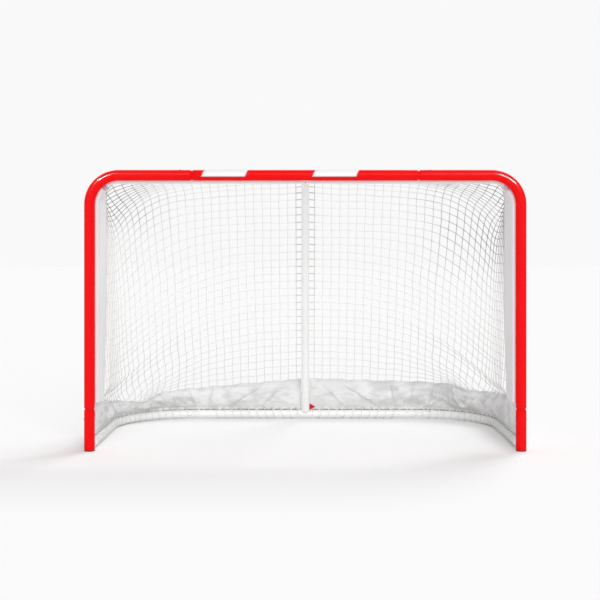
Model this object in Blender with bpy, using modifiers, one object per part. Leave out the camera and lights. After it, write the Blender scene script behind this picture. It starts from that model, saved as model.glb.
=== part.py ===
"""Hockey goal: a red steel front frame, a white base and support, a sewn net and a canvas skirt.

Metres, +Z up. The mouth faces -Y and the base runs back towards +Y. The origin is on the floor under the
middle of the whole goal. Depths are measured from the plane of the posts' axes, and at() makes them places.
"""

import math

import bmesh
import bpy
from mathutils import Matrix, Vector

# Fits
GAP = 0.0003
SIDES = 16
FACET = math.cos(math.pi / SIDES)
SWAGE_STEP = 0.003
NECK = 0.008
SPIGOT = 0.09
SEAM = 0.0006

# Front frame
MOUTH_WIDTH = 1.829
GOAL_HEIGHT = 1.22
RED_R = 0.023
RED_WALL = 0.002
CORNER_R = 0.126
CORNER_STEPS = 8
FRAME_SEAM_X = 0.4975
POST_SEAM_Z = 0.177
BAR_Z = GOAL_HEIGHT - RED_R
POST_X = MOUTH_WIDTH / 2 + RED_R

# Feet
CAP_FLANGE = 0.0037
CAP_INSERT = 0.016
FOOT_BOTTOM = CAP_FLANGE + GAP
FOOT_TOP = POST_SEAM_Z - SEAM / 2

# Base
WHITE_R = 0.0205
WHITE_WALL = 0.0018
BASE_RUN = 0.9725
BASE_CORNER_R = 0.37
REAR_SEAM_X = POST_X - BASE_CORNER_R
LACE_R = 0.0016
LACE_SIDES = 5
LACE_APOTHEM = WHITE_R + GAP + LACE_R
LACE_TURN_R = LACE_APOTHEM / math.cos(math.pi / LACE_SIDES)
BASE_Z = LACE_APOTHEM + LACE_R + GAP
RAIL_START = RED_R + 0.002
RAIL_BEND_STEPS = 14
RAIL_BEND_START = math.radians(3)
STUB_ROOT = 0.0115
STUB_REACH = 0.11

# Centre support
SUPPORT_R = 0.019
SUPPORT_WALL = 0.0018
SUPPORT_BEND_R = 0.15
SUPPORT_BEND_STEPS = 8
SUPPORT_LEAN = math.radians(18.5)
SLEEVE_WALL = 0.0014
SLEEVE_LENGTH = 0.1235
SLEEVE_ROOT = 0.006
SUPPORT_INSERT = 0.075

# Support bracket
SADDLE_T = 0.003
SADDLE_HALF_WIDTH = 0.038
SADDLE_ANGLE = math.radians(110)
SADDLE_STEPS = 5
BRACKET_SPIGOT = 0.07
SCREW_X = 0.03
SCREW_R = 0.003
SCREW_HEAD_R = 0.005
SCREW_HEAD_T = 0.004
SCREW_HEAD_EDGE = 0.001
SCREW_REACH = 0.016

# Snap buttons and their leaf springs
BUTTON_R = 0.00425
BUTTON_PROUD = 0.0018
BUTTON_CHAMFER = 0.0008
FLANGE_R = 0.006
FLANGE_T = 0.0012
BUTTON_SIDES = 10
FRAME_BUTTON = 0.0455
POST_BUTTON = 0.039
RAIL_BUTTON = 0.07
REAR_BUTTON = 0.045
SUPPORT_BUTTON = 0.035
LEAF_T = 0.0008
LEAF_HALF_WIDTH = 0.004
LEAF_REACH = 0.028
LEAF_TURN = 0.006

# Lacing bars and the canvas bands hooked over them
ROD_R = 0.0035
ROD_INSET = 0.031
ROD_BACK = 0.018
ROD_SEAM_CLEAR = 0.0375
ROD_BOTTOM_Z = 0.215
ROD_BEND = 0.006
CANVAS_T = 0.001
BAND_BACK = 0.12
BAND_SLANT = 0.022
BAND_LIFT = 0.03
BAND_BOTTOM_Z = 0.225
BAND_INNER_X = 0.0245
WRAP_START = math.radians(72)

# Skirt and the cord that laces it to the base
SKIRT_MIDDLE_Z = 0.2065
SKIRT_FALL = {-1: 0.09, 1: 0.03}
SKIRT_PINCH_Z = {-1: 0.096, 1: 0.154}
SKIRT_RISE = {-1: 0.136, 1: 0.078}
SKIRT_DRAW = 0.0976
SKIRT_START_X = 0.0225
SKIRT_FRONT = RED_R + 2 * GAP
HEM = 0.006
EYELET = 0.01
FOLD_DEPTH = 0.009
FOLD_TAPER = 0.12
FOLD_WAVES = ((0.185, 0.6, 0.0), (0.114, 0.36, 1.0))
LACE_PITCH = 0.065
REAR_LACE_LOOPS = 7
REAR_LACE_X = 0.065
SIDE_LACE_LOOPS = 17
SIDE_LACE_DEPTH = 0.085

# Net
NET_T = 0.003
NET_CORD = 0.007
NET_SPLIT = 0.0018
NET_SEAT = 0.0015
NET_COLUMNS = 8
NET_SIDE_COLUMNS = 3
ROOF_ROWS = 4
REAR_ROWS = 8
NET_ROWS = ROOF_ROWS + REAR_ROWS
NET_START_X = 0.0045
NET_PINCH = math.radians(43)
NET_BULGE = 0.34
NET_EDGE_HOLD = 3
NET_ROW_STEPS = 24
NET_EDGE_STEPS = 24
NET_CORNER = 3 + CORNER_STEPS // 2
NET_ROW_LAG = 0.17
NET_FLAT_POWER = 7.0
NET_FALL_POWER = 2.6
NET_FALL_START = 0.22
NET_FALL_RUN = 0.45

# Labels and strap end
LABEL_T = 0.0004
LABEL_LOW = math.radians(-19)
LABEL_HIGH = math.radians(71)
LABEL_STEPS = 6
LABEL_SLANT = 0.014
LEFT_LABEL_X = -0.349
RIGHT_LABEL_X = 0.132
LABEL_HALF_LENGTH = 0.096
STRAP_WIDTH = 0.03
STRAP_HEIGHT = 0.034
STRAP_T = 0.003
STRAP_CLEAR = 0.001

# Placing the whole goal: the origin is under the middle of its box
LABEL_R = (RED_R + GAP) / math.cos((LABEL_HIGH - LABEL_LOW) / LABEL_STEPS / 2)
FRONT_REACH = LABEL_R + LABEL_T
REAR_REACH = BASE_RUN + LACE_TURN_R * math.cos(math.radians(18)) + LACE_R
POST_Y = (FRONT_REACH - REAR_REACH) / 2


def at(x: float, depth: float, z: float) -> Vector:
    """The place at this distance behind the plane of the posts' axes."""
    return Vector((x, POST_Y + depth, z))


def spigot_radius(outer: float, wall: float) -> float:
    """The radius of a tube end that slides into a tube of this outer radius and wall."""
    return (outer - wall) * FACET - GAP


def clear_scene() -> None:
    """Remove what the scene holds."""
    for thing in list(bpy.data.objects):
        bpy.data.objects.remove(thing, do_unlink=True)


def new_collection(name: str) -> bpy.types.Collection:
    """Add a collection to the scene."""
    made = bpy.data.collections.new(name)
    bpy.context.scene.collection.children.link(made)
    return made


def new_material(name: str, colour: tuple, roughness: float, metallic: float = 0.0) -> bpy.types.Material:
    """A plain Principled material."""
    made = bpy.data.materials.new(name)
    made.use_nodes = True
    shader = made.node_tree.nodes["Principled BSDF"]
    shader.inputs["Base Color"].default_value = (*colour, 1.0)
    shader.inputs["Roughness"].default_value = roughness
    shader.inputs["Metallic"].default_value = metallic
    return made


clear_scene()
PARTS = new_collection("hockey_goal")
CUTTERS = new_collection("cutters")
RED = new_material("red_powder_coat", (0.85, 0.01, 0.015), 0.25)
WHITE = new_material("white_powder_coat", (0.85, 0.85, 0.84), 0.3)
STEEL = new_material("zinc_plated_steel", (0.6, 0.6, 0.58), 0.35, 1.0)
SPRING = new_material("spring_steel", (0.4, 0.42, 0.45), 0.3, 1.0)
BLACK = new_material("black_plastic", (0.02, 0.02, 0.02), 0.5)
NET = new_material("white_net_cord", (0.86, 0.86, 0.85), 0.85)
CANVAS = new_material("white_canvas", (0.82, 0.82, 0.82), 0.8)
LACE = new_material("white_lacing_cord", (0.84, 0.84, 0.83), 0.85)
LABEL = new_material("white_label", (0.9, 0.9, 0.9), 0.3)
STRAP = new_material("red_webbing", (0.75, 0.02, 0.03), 0.7)


def add_object(name: str, mesh: bpy.types.Mesh, finish, place=Matrix()) -> bpy.types.Object:
    """Put a mesh in the parts' collection under this name."""
    made = bpy.data.objects.new(name, mesh)
    mesh.materials.clear()
    mesh.materials.append(finish)
    PARTS.objects.link(made)
    made.matrix_world = place
    return made


def smooth(mesh: bpy.types.Mesh) -> None:
    """Shade round faces smooth and keep real corners sharp."""
    mesh.shade_smooth()
    mesh.set_sharp_from_angle(angle=math.radians(40))


def solidify(target: bpy.types.Object, thickness: float, offset: float) -> None:
    """Give a surface its thickness."""
    shell = target.modifiers.new("thickness", "SOLIDIFY")
    shell.thickness = thickness
    shell.offset = offset
    shell.use_even_offset = True


def swept_mesh(points: list, radii: list, sides: int, caps: bool) -> bpy.types.Mesh:
    """The mesh of a round curve through these points, open at its ends unless it has caps."""
    curve = bpy.data.curves.new("route", "CURVE")
    curve.dimensions = "3D"
    curve.bevel_depth = 1.0
    curve.bevel_resolution = (sides - 4) // 2
    curve.use_fill_caps = caps
    spline = curve.splines.new("POLY")
    spline.points.add(len(points) - 1)
    for knot, point, radius in zip(spline.points, points, radii):
        knot.co = (*point, 1.0)
        knot.radius = radius
    route = bpy.data.objects.new("route", curve)
    bpy.context.scene.collection.objects.link(route)
    evaluated = route.evaluated_get(bpy.context.evaluated_depsgraph_get())
    mesh = bpy.data.meshes.new_from_object(evaluated)
    bpy.data.objects.remove(route)
    weld = bmesh.new()
    weld.from_mesh(mesh)
    bmesh.ops.remove_doubles(weld, verts=weld.verts, dist=1e-5)
    bmesh.ops.recalc_face_normals(weld, faces=weld.faces)
    weld.to_mesh(mesh)
    weld.free()
    return mesh


def add_rod(name: str, points: list, radius: float, sides: int, finish) -> bpy.types.Object:
    """A solid round rod or cord."""
    mesh = swept_mesh(points, [radius] * len(points), sides, True)
    smooth(mesh)
    return add_object(name, mesh, finish)


def add_tube(name: str, stations: list, wall: float, finish: bpy.types.Material) -> bpy.types.Object:
    """A hollow tube through stations of a point and an outer radius, so an end can be swaged down."""
    points = [point for point, _ in stations]
    radii = [radius for _, radius in stations]
    mesh = swept_mesh(points, radii, SIDES, False)
    smooth(mesh)
    tube = add_object(name, mesh, finish)
    solidify(tube, wall, -1.0)
    return tube


def cylinder_mesh(name: str, radius: float, start: Vector, end: Vector, sides: int) -> bpy.types.Mesh:
    """A closed cylinder between two points, with a corner of its rim turned as a swept tube has it."""
    axis = end - start
    turn = axis.to_track_quat("Z", "Y").to_matrix().to_4x4()
    place = Matrix.Translation((start + end) / 2) @ turn
    shape = bmesh.new()
    bmesh.ops.create_cone(
        shape,
        cap_ends=True,
        segments=sides,
        radius1=radius,
        radius2=radius,
        depth=axis.length,
        matrix=place,
    )
    mesh = bpy.data.meshes.new(name)
    shape.to_mesh(mesh)
    shape.free()
    return mesh


def cut(target: bpy.types.Object, radius: float, start: Vector, end: Vector, sides: int = 12) -> None:
    """Cut a round hole through a piece."""
    name = f"{target.name}_hole_{len(target.modifiers)}"
    cutter = bpy.data.objects.new(name, cylinder_mesh(name, radius, start, end, sides))
    cutter.hide_render = True
    cutter.display_type = "WIRE"
    CUTTERS.objects.link(cutter)
    hole = target.modifiers.new(name, "BOOLEAN")
    hole.operation = "DIFFERENCE"
    hole.object = cutter


def join(target: bpy.types.Object, mesh: bpy.types.Mesh) -> None:
    """Weld another shape onto a piece."""
    cutter = bpy.data.objects.new(mesh.name, mesh)
    cutter.hide_render = True
    cutter.display_type = "WIRE"
    CUTTERS.objects.link(cutter)
    weld = target.modifiers.new(mesh.name, "BOOLEAN")
    weld.operation = "UNION"
    weld.object = cutter


def add_sheet(name: str, columns: int, rows: int, place, finish: bpy.types.Material) -> bpy.types.Object:
    """A grid of faces whose corners are put where place(column, row) says."""
    grid = bmesh.new()
    bmesh.ops.create_grid(grid, x_segments=columns, y_segments=rows, size=0.5)
    for corner in grid.verts:
        column = round((corner.co.x + 0.5) * columns)
        row = round((corner.co.y + 0.5) * rows)
        corner.co = place(column, row)
    mesh = bpy.data.meshes.new(name)
    grid.to_mesh(mesh)
    grid.free()
    smooth(mesh)
    return add_object(name, mesh, finish)


def arc(centre: Vector, first: Vector, second: Vector, radius: float, angle: float, steps: int) -> list:
    """Points round a centre, from the first direction towards the second."""
    turns = [angle * step / steps for step in range(steps + 1)]
    return [centre + radius * (math.cos(turn) * first + math.sin(turn) * second) for turn in turns]


def along(path: list, share: float) -> Vector:
    """The point at this share of the way along a polyline."""
    lengths = [(b - a).length for a, b in zip(path, path[1:])]
    left = share * sum(lengths)
    for start, end, length in zip(path, path[1:], lengths):
        if left <= length:
            return start.lerp(end, left / length)
        left -= length
    return path[-1].copy()


UP = Vector((0.0, 0.0, 1.0))
BACK = Vector((0.0, 1.0, 0.0))


def frame_arc(side: int, radius: float, depth: float) -> list:
    """Points round a top corner of the front frame, from the crossbar to the post."""
    centre = at(side * (POST_X - CORNER_R), depth, BAR_Z - CORNER_R)
    return arc(centre, UP, Vector((side, 0.0, 0.0)), radius, math.pi / 2, CORNER_STEPS)


def base_arc(side: int, radius: float, z: float, start: float, end: float, steps: int) -> list:
    """Points round a rear corner of the base, counted in turn from the rear tube towards the rail."""
    out = Vector((side, 0.0, 0.0))
    centre = at(side * REAR_SEAM_X, BASE_RUN - BASE_CORNER_R, z)
    first = math.cos(start) * BACK + math.sin(start) * out
    second = -math.sin(start) * BACK + math.cos(start) * out
    return arc(centre, first, second, radius, end - start, steps)


def add_crossbar() -> bpy.types.Object:
    """The middle tube, swaged down at both ends to slide into the corner tubes."""
    small = spigot_radius(RED_R, RED_WALL)
    reach = [
        (FRAME_SEAM_X + SPIGOT, small),
        (FRAME_SEAM_X - NECK, small),
        (FRAME_SEAM_X - NECK - SWAGE_STEP, RED_R),
    ]
    left = [(at(-x, 0.0, BAR_Z), radius) for x, radius in reach]
    right = [(at(x, 0.0, BAR_Z), radius) for x, radius in reversed(reach)]
    return add_tube("crossbar", left + right, RED_WALL, RED)


def add_post_corner(side: int, label: str) -> bpy.types.Object:
    """One bent tube: the arm on the crossbar's line, the corner and the post with its swaged lower end."""
    small = spigot_radius(RED_R, RED_WALL)
    post = [
        (POST_SEAM_Z + NECK + SWAGE_STEP, RED_R),
        (POST_SEAM_Z + NECK, small),
        (POST_SEAM_Z - SPIGOT, small),
    ]
    stations = [(at(side * (FRAME_SEAM_X + SEAM), 0.0, BAR_Z), RED_R)]
    stations += [(point, RED_R) for point in frame_arc(side, CORNER_R, 0.0)]
    stations += [(at(side * POST_X, 0.0, z), radius) for z, radius in post]
    return add_tube(f"{label}_post_corner", stations, RED_WALL, RED)


def add_foot(side: int, label: str) -> bpy.types.Object:
    """A short red tube that takes the post's end, with the welded stub that the base rail slides onto."""
    x = side * POST_X
    bottom, top = at(x, 0.0, FOOT_BOTTOM), at(x, 0.0, FOOT_TOP)
    foot = add_object(f"{label}_foot", cylinder_mesh("foot", RED_R, bottom, top, SIDES), RED)
    stub_r = spigot_radius(WHITE_R, WHITE_WALL)
    root, tip = at(x, STUB_ROOT, BASE_Z), at(x, STUB_REACH, BASE_Z)
    join(foot, cylinder_mesh(f"{label}_stub", stub_r, root, tip, SIDES))
    cut(foot, RED_R - RED_WALL, bottom - UP * RED_R, top + UP * RED_R, SIDES)
    cut(foot, stub_r - RED_WALL, root, tip + BACK * RED_R, SIDES)
    return foot


def add_foot_cap(side: int, label: str) -> bpy.types.Object:
    """A plug with a flange as wide as the foot, turned as one profile."""
    insert = spigot_radius(RED_R, RED_WALL)
    profile = [
        (0.0, CAP_FLANGE + CAP_INSERT),
        (insert, CAP_FLANGE + CAP_INSERT),
        (insert, CAP_FLANGE),
        (RED_R, CAP_FLANGE),
        (RED_R, 0.0),
        (0.0, 0.0),
    ]
    place = Matrix.Translation(at(side * POST_X, 0.0, 0.0))
    return add_turned(f"{label}_foot_cap", profile, SIDES, BLACK, place)


def add_turned(name: str, profile: list, steps: int, finish, place: Matrix) -> bpy.types.Object:
    """A solid turned from a profile of radius and height, top to bottom down its outer side."""
    outline = bmesh.new()
    corners = [outline.verts.new((radius, 0.0, z)) for radius, z in profile]
    for first, second in zip(corners, corners[1:]):
        outline.edges.new((first, second))
    mesh = bpy.data.meshes.new(name)
    outline.to_mesh(mesh)
    outline.free()
    turned = add_object(name, mesh, finish, place)
    screw = turned.modifiers.new("turn", "SCREW")
    screw.steps = steps
    screw.render_steps = steps
    screw.use_merge_vertices = True
    screw.merge_threshold = 0.00001
    return turned


def add_base_rail(side: int, label: str) -> bpy.types.Object:
    """A white tube from the foot's stub back and round the rear corner, swaged down for the rear tube."""
    small = spigot_radius(WHITE_R, WHITE_WALL)
    stations = [(at(side * POST_X, RAIL_START, BASE_Z), WHITE_R)]
    bend = base_arc(side, BASE_CORNER_R, BASE_Z, RAIL_BEND_START, math.pi / 2, RAIL_BEND_STEPS)
    stations += [(point, WHITE_R) for point in reversed(bend)]
    ends = [
        (REAR_SEAM_X + NECK + SWAGE_STEP, WHITE_R),
        (REAR_SEAM_X + NECK, small),
        (REAR_SEAM_X - SPIGOT, small),
    ]
    stations += [(at(side * x, BASE_RUN, BASE_Z), radius) for x, radius in ends]
    return add_tube(f"{label}_base_rail", stations, WHITE_WALL, WHITE)


def lean_axis() -> Vector:
    """The direction of the support's lower run, upwards."""
    return Vector((0.0, -math.sin(SUPPORT_LEAN), math.cos(SUPPORT_LEAN)))


def sleeve_bore() -> float:
    """The bore of the sleeve that takes the support's foot."""
    return (SUPPORT_R + GAP) / FACET


def add_rear_tube() -> bpy.types.Object:
    """The straight rear tube with the leaning sleeve welded to its middle."""
    end = at(REAR_SEAM_X - SEAM, BASE_RUN, BASE_Z)
    start = at(-end.x, BASE_RUN, BASE_Z)
    middle = at(0.0, BASE_RUN, BASE_Z)
    across = Vector((WHITE_R, 0.0, 0.0))
    lean = lean_axis()
    tube = add_object("rear_base_tube", cylinder_mesh("rear_tube", WHITE_R, start, end, SIDES), WHITE)
    sleeve_r = sleeve_bore() + SLEEVE_WALL
    root, tip = middle + lean * SLEEVE_ROOT, middle + lean * SLEEVE_LENGTH
    join(tube, cylinder_mesh("sleeve", sleeve_r, root, tip, SIDES))
    cut(tube, WHITE_R - WHITE_WALL, start - across, end + across, SIDES)
    cut(tube, sleeve_bore(), middle + lean * (WHITE_R + SLEEVE_WALL), tip + lean * WHITE_R, SIDES)
    return tube


def support_bend() -> tuple:
    """The corner where the support's straight runs would meet, and the length from it to the bend's ends."""
    corner = at(0.0, BASE_RUN - (BAR_Z - BASE_Z) * math.tan(SUPPORT_LEAN), BAR_Z)
    return corner, SUPPORT_BEND_R * math.tan((math.pi / 2 - SUPPORT_LEAN) / 2)


def saddle_radius() -> float:
    """The inner corner radius of the saddle that lies on the crossbar."""
    return (RED_R + GAP) / math.cos(SADDLE_ANGLE / SADDLE_STEPS / 2)


def add_support() -> bpy.types.Object:
    """One bent tube from the bracket back, round the bend and down into the sleeve."""
    corner, tangent = support_bend()
    front = at(0.0, saddle_radius() + SADDLE_T + 2 * GAP, BAR_Z)
    centre = corner - BACK * tangent - UP * SUPPORT_BEND_R
    bend = arc(centre, UP, BACK, SUPPORT_BEND_R, math.pi / 2 - SUPPORT_LEAN, SUPPORT_BEND_STEPS)
    foot = at(0.0, BASE_RUN, BASE_Z) + lean_axis() * (SLEEVE_LENGTH - SUPPORT_INSERT)
    stations = [(point, SUPPORT_R) for point in [front, *bend, foot]]
    return add_tube("centre_support", stations, SUPPORT_WALL, WHITE)


def add_bracket() -> bpy.types.Object:
    """A saddle on the back of the crossbar with the spigot that the support slides onto."""
    inner = saddle_radius()

    def place(column: int, row: int) -> Vector:
        turn = SADDLE_ANGLE * (row / SADDLE_STEPS - 0.5)
        x = SADDLE_HALF_WIDTH * (2 * column - 1)
        return at(x, inner * math.cos(turn), BAR_Z + inner * math.sin(turn))

    bracket = add_sheet("support_bracket", 1, SADDLE_STEPS, place, RED)
    solidify(bracket, SADDLE_T, -1.0)
    radius = spigot_radius(SUPPORT_R, SUPPORT_WALL)
    root = at(0.0, RED_R + SADDLE_T / 2, BAR_Z)
    tip = at(0.0, RED_R + SADDLE_T + BRACKET_SPIGOT, BAR_Z)
    join(bracket, cylinder_mesh("bracket_spigot", radius, root, tip, SIDES))
    cut(bracket, radius - SADDLE_T, at(0.0, RED_R + 2 * SADDLE_T, BAR_Z), tip + BACK * RED_R, SIDES)
    return bracket


def add_bracket_screw(side: int, label: str, crossbar: bpy.types.Object, bracket: bpy.types.Object) -> None:
    """A screw through the saddle into the crossbar's wall, and the holes that it passes."""
    seat = saddle_radius() * math.cos(SADDLE_ANGLE / SADDLE_STEPS / 2) + SADDLE_T + GAP
    profile = [
        (0.0, SCREW_HEAD_T),
        (SCREW_HEAD_R - SCREW_HEAD_EDGE, SCREW_HEAD_T),
        (SCREW_HEAD_R, SCREW_HEAD_T - SCREW_HEAD_EDGE),
        (SCREW_HEAD_R, 0.0),
        (SCREW_R, 0.0),
        (SCREW_R, -SCREW_REACH),
        (0.0, -SCREW_REACH),
    ]
    x = side * SCREW_X
    turn = Matrix.Rotation(-math.pi / 2, 4, "X")
    place = Matrix.Translation(at(x, seat, BAR_Z)) @ turn
    add_turned(f"{label}_bracket_screw", profile, BUTTON_SIDES, STEEL, place)
    start, end = at(x, RED_R - 2 * RED_WALL, BAR_Z), at(x, seat + SADDLE_T, BAR_Z)
    for piece in (crossbar, bracket):
        cut(piece, SCREW_R + GAP, start, end)


def add_button(name: str, centre: Vector, out: Vector, tube_axis: Vector, sizes: dict, walls: list) -> None:
    """A snap button at a slip joint, its leaf spring, and the holes through the walls that it locks.

    The centre is on the tube's axis, out is the way the head faces, and the spring lies along tube_axis.
    """
    bore = (sizes["inner"] - sizes["inner_wall"]) * FACET
    flange_top = math.sqrt(bore**2 - FLANGE_R**2) - GAP
    tip = sizes["outer"] + BUTTON_PROUD
    profile = [
        (0.0, tip),
        (BUTTON_R - BUTTON_CHAMFER, tip),
        (BUTTON_R, tip - BUTTON_CHAMFER),
        (BUTTON_R, flange_top),
        (FLANGE_R, flange_top),
        (FLANGE_R, flange_top - FLANGE_T),
        (0.0, flange_top - FLANGE_T),
    ]
    across = out.cross(tube_axis)
    turn = Matrix((tube_axis, across, out)).transposed()
    if turn.determinant() < 0:
        turn = Matrix((tube_axis, -across, out)).transposed()
    add_turned(name, profile, BUTTON_SIDES, STEEL, Matrix.Translation(centre) @ turn.to_4x4())
    for piece in walls:
        cut(piece, BUTTON_R + GAP, centre + out * (flange_top - FLANGE_T), centre + out * (tip + RED_WALL))
    seat = flange_top - FLANGE_T - GAP - LEAF_T / 2
    floor = math.sqrt(bore**2 - LEAF_HALF_WIDTH**2) - GAP - LEAF_T
    route = [
        (-FLANGE_R, seat),
        (FLANGE_R, seat),
        (LEAF_REACH - LEAF_TURN, LEAF_TURN),
        (LEAF_REACH, 0.0),
        (LEAF_REACH - LEAF_TURN, -LEAF_TURN),
        (0.0, -floor),
    ]

    def place(column: int, row: int) -> Vector:
        run, height = route[column]
        return centre + tube_axis * run + out * height + across * LEAF_HALF_WIDTH * (2 * row - 1)

    leaf = add_sheet(f"{name}_spring", len(route) - 1, 1, place, SPRING)
    solidify(leaf, LEAF_T, 0.0)


def add_buttons(pieces: dict) -> None:
    """The nine snap buttons."""
    red = {
        "outer": RED_R,
        "inner": spigot_radius(RED_R, RED_WALL),
        "inner_wall": RED_WALL,
    }
    white = {
        "outer": WHITE_R,
        "inner": spigot_radius(WHITE_R, WHITE_WALL),
        "inner_wall": WHITE_WALL,
    }
    stub = {**white, "inner_wall": RED_WALL}
    sleeve = {"outer": sleeve_bore() + SLEEVE_WALL, "inner": SUPPORT_R, "inner_wall": SUPPORT_WALL}
    for side, label in ((-1, "left"), (1, "right")):
        out = Vector((float(side), 0.0, 0.0))
        corner, foot, rail = (pieces[f"{label}_{name}"] for name in ("post_corner", "foot", "base_rail"))
        frame_place = at(side * (FRAME_SEAM_X + FRAME_BUTTON), 0.0, BAR_Z)
        add_button(f"{label}_crossbar_button", frame_place, UP, -out, red, [pieces["crossbar"], corner])
        post_place = at(side * POST_X, 0.0, POST_SEAM_Z - POST_BUTTON)
        add_button(f"{label}_post_button", post_place, out, UP, red, [corner, foot])
        rail_place = at(side * POST_X, RAIL_BUTTON, BASE_Z)
        add_button(f"{label}_rail_button", rail_place, out, -BACK, stub, [foot, rail])
        rear_place = at(side * (REAR_SEAM_X - REAR_BUTTON), BASE_RUN, BASE_Z)
        add_button(f"{label}_rear_button", rear_place, BACK, out, white, [rail, pieces["rear_base_tube"]])
    lean = lean_axis()
    place = at(0.0, BASE_RUN, BASE_Z) + lean * (SLEEVE_LENGTH - SUPPORT_BUTTON)
    behind = Vector((0.0, math.cos(SUPPORT_LEAN), math.sin(SUPPORT_LEAN)))
    walls = [pieces["centre_support"], pieces["rear_base_tube"]]
    add_button("support_button", place, behind, lean, sleeve, walls)


def rod_end(x: float, z: float, outward: Vector, inward_run: Vector) -> list:
    """The bent end of a lacing bar: out to the tube that it is welded to, and onto the bar's own line."""
    line = at(x, ROD_BACK, z)
    side_reach = ROD_BACK - ROD_R
    weld = ROD_INSET - math.sqrt(RED_R**2 - side_reach**2) - 2 * GAP
    return [line + outward * weld, line + outward * ROD_BEND, line + inward_run * ROD_BEND]


def add_lacing_bars() -> None:
    """The three bars behind the crossbar and the corner tubes."""
    rod_z = BAR_Z - ROD_INSET
    right = Vector((1.0, 0.0, 0.0))
    reach = FRAME_SEAM_X - ROD_SEAM_CLEAR
    first = rod_end(-reach, rod_z, UP, right)
    last = rod_end(reach, rod_z, UP, -right)
    add_rod("crossbar_lacing_bar", first + last[::-1], ROD_R, 8, RED)
    for side, label in ((-1, "left"), (1, "right")):
        out = right * side
        first = rod_end(side * (FRAME_SEAM_X + ROD_SEAM_CLEAR), rod_z, UP, out)
        bend = frame_arc(side, CORNER_R - ROD_INSET, ROD_BACK)
        last = rod_end(side * (POST_X - ROD_INSET), ROD_BOTTOM_Z, out, UP)
        add_rod(f"{label}_lacing_bar", first + bend + last[::-1], ROD_R, 8, RED)


def band_route(side: int) -> list:
    """Stations along a band: the bar's axis there, and the way outwards to the red tube."""
    rod_z = BAR_Z - ROD_INSET
    out = Vector((float(side), 0.0, 0.0))
    arm_end = POST_X - CORNER_R
    stations = []
    for share in (0.0, 1 / 3, 2 / 3):
        x = BAND_INNER_X + (arm_end - BAND_INNER_X) * share
        stations.append((at(side * x, ROD_BACK, rod_z), UP))
    for step, point in enumerate(frame_arc(side, CORNER_R - ROD_INSET, ROD_BACK)):
        turn = math.pi / 2 * step / CORNER_STEPS
        stations.append((point, math.cos(turn) * UP + math.sin(turn) * out))
    top = BAR_Z - CORNER_R
    for share in (1 / 3, 2 / 3, 1.0):
        z = top + (BAND_BOTTOM_Z - top) * share
        stations.append((at(side * (POST_X - ROD_INSET), ROD_BACK, z), out))
    return stations


def band_edge(axis: Vector, outward: Vector) -> Vector:
    """Where a band's rear edge lies, at this station along the bar."""
    lift = BAND_LIFT * outward.z**2 - BAND_SLANT * (1 - outward.z**2)
    return axis + BACK * (BAND_BACK - ROD_BACK) + outward * lift


def add_band(side: int, label: str) -> bpy.types.Object:
    """A canvas band hooked over the lacing bars, with the net sewn to its rear edge."""
    stations = band_route(side)
    hook = ROD_R + GAP + CANVAS_T / 2
    turns = [WRAP_START + (math.pi - WRAP_START) * step / 4 for step in range(5)]

    def place(column: int, row: int) -> Vector:
        axis, outward = stations[column]
        if row < len(turns):
            return axis + hook * (math.cos(turns[row]) * outward - math.sin(turns[row]) * BACK)
        edge = band_edge(axis, outward)
        if row == len(turns) + 1:
            return edge
        start = axis - hook * outward
        return start.lerp(edge, 0.5) - outward * CANVAS_T

    band = add_sheet(f"{label}_band", len(stations) - 1, len(turns) + 1, place, CANVAS)
    solidify(band, CANVAS_T, 0.0)
    return band


def base_length() -> tuple:
    """The lengths of half the rear run, of the corner's arc and of the side run along the base's axis."""
    return REAR_SEAM_X, BASE_CORNER_R * math.pi / 2, BASE_RUN - BASE_CORNER_R


def base_point(side: int, distance: float, z: float) -> tuple:
    """The point this far along half the base from its middle, and the way straight out of the goal."""
    rear, bend, _ = base_length()
    out = Vector((float(side), 0.0, 0.0))
    if distance < rear:
        return at(side * distance, BASE_RUN, z), BACK.copy()
    if distance > rear + bend:
        return at(side * POST_X, BASE_RUN - BASE_CORNER_R - (distance - rear - bend), z), out
    turn = (distance - rear) / BASE_CORNER_R
    outward = math.cos(turn) * BACK + math.sin(turn) * out
    return at(side * REAR_SEAM_X, BASE_RUN - BASE_CORNER_R, z) + outward * BASE_CORNER_R, outward


def eyelet_z() -> float:
    """The height of the eyelets' middle."""
    return BASE_Z + WHITE_R + GAP + HEM + EYELET / 2


def crossings() -> tuple:
    """How far along half the base the cord passes each eyelet, for the rear cord and for the side cord."""
    rear = [REAR_LACE_X + LACE_PITCH * loop for loop in range(REAR_LACE_LOOPS)]
    end = sum(base_length()) - SIDE_LACE_DEPTH
    side = [end - LACE_PITCH * loop for loop in reversed(range(SIDE_LACE_LOOPS))]
    return rear, side


def add_lace(name: str, side: int, passes: list) -> bpy.types.Object:
    """A cord that winds round the base and through the eyelets."""
    top = eyelet_z() - BASE_Z
    points = []
    for index in range(-1, LACE_SIDES * (len(passes) - 1) + 2):
        turn = math.pi / 2 - 2 * math.pi * index / LACE_SIDES
        distance = passes[0] + LACE_PITCH * index / LACE_SIDES
        axis, outward = base_point(side, distance, BASE_Z)
        if index % LACE_SIDES == 0:
            points.append(axis + UP * top)
            continue
        points.append(axis + LACE_TURN_R * (math.cos(turn) * outward + math.sin(turn) * UP))
    gaps = [
        (points[i] - points[j]).length
        for i in range(len(points))
        for j in range(i + LACE_SIDES - 1, len(points))
    ]
    print(f"{name}: least gap to itself {1000 * (min(gaps) - 2 * LACE_R):.2f} mm")
    return add_rod(name, points, LACE_R, 4, LACE)


def skirt_end() -> float:
    """How far along half the base the skirt's front edge lies."""
    return sum(base_length()) - SKIRT_FRONT


def pinch_distance() -> float:
    """How far along half the base the net draws the skirt down."""
    return REAR_SEAM_X + BASE_CORNER_R * NET_PINCH


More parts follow.
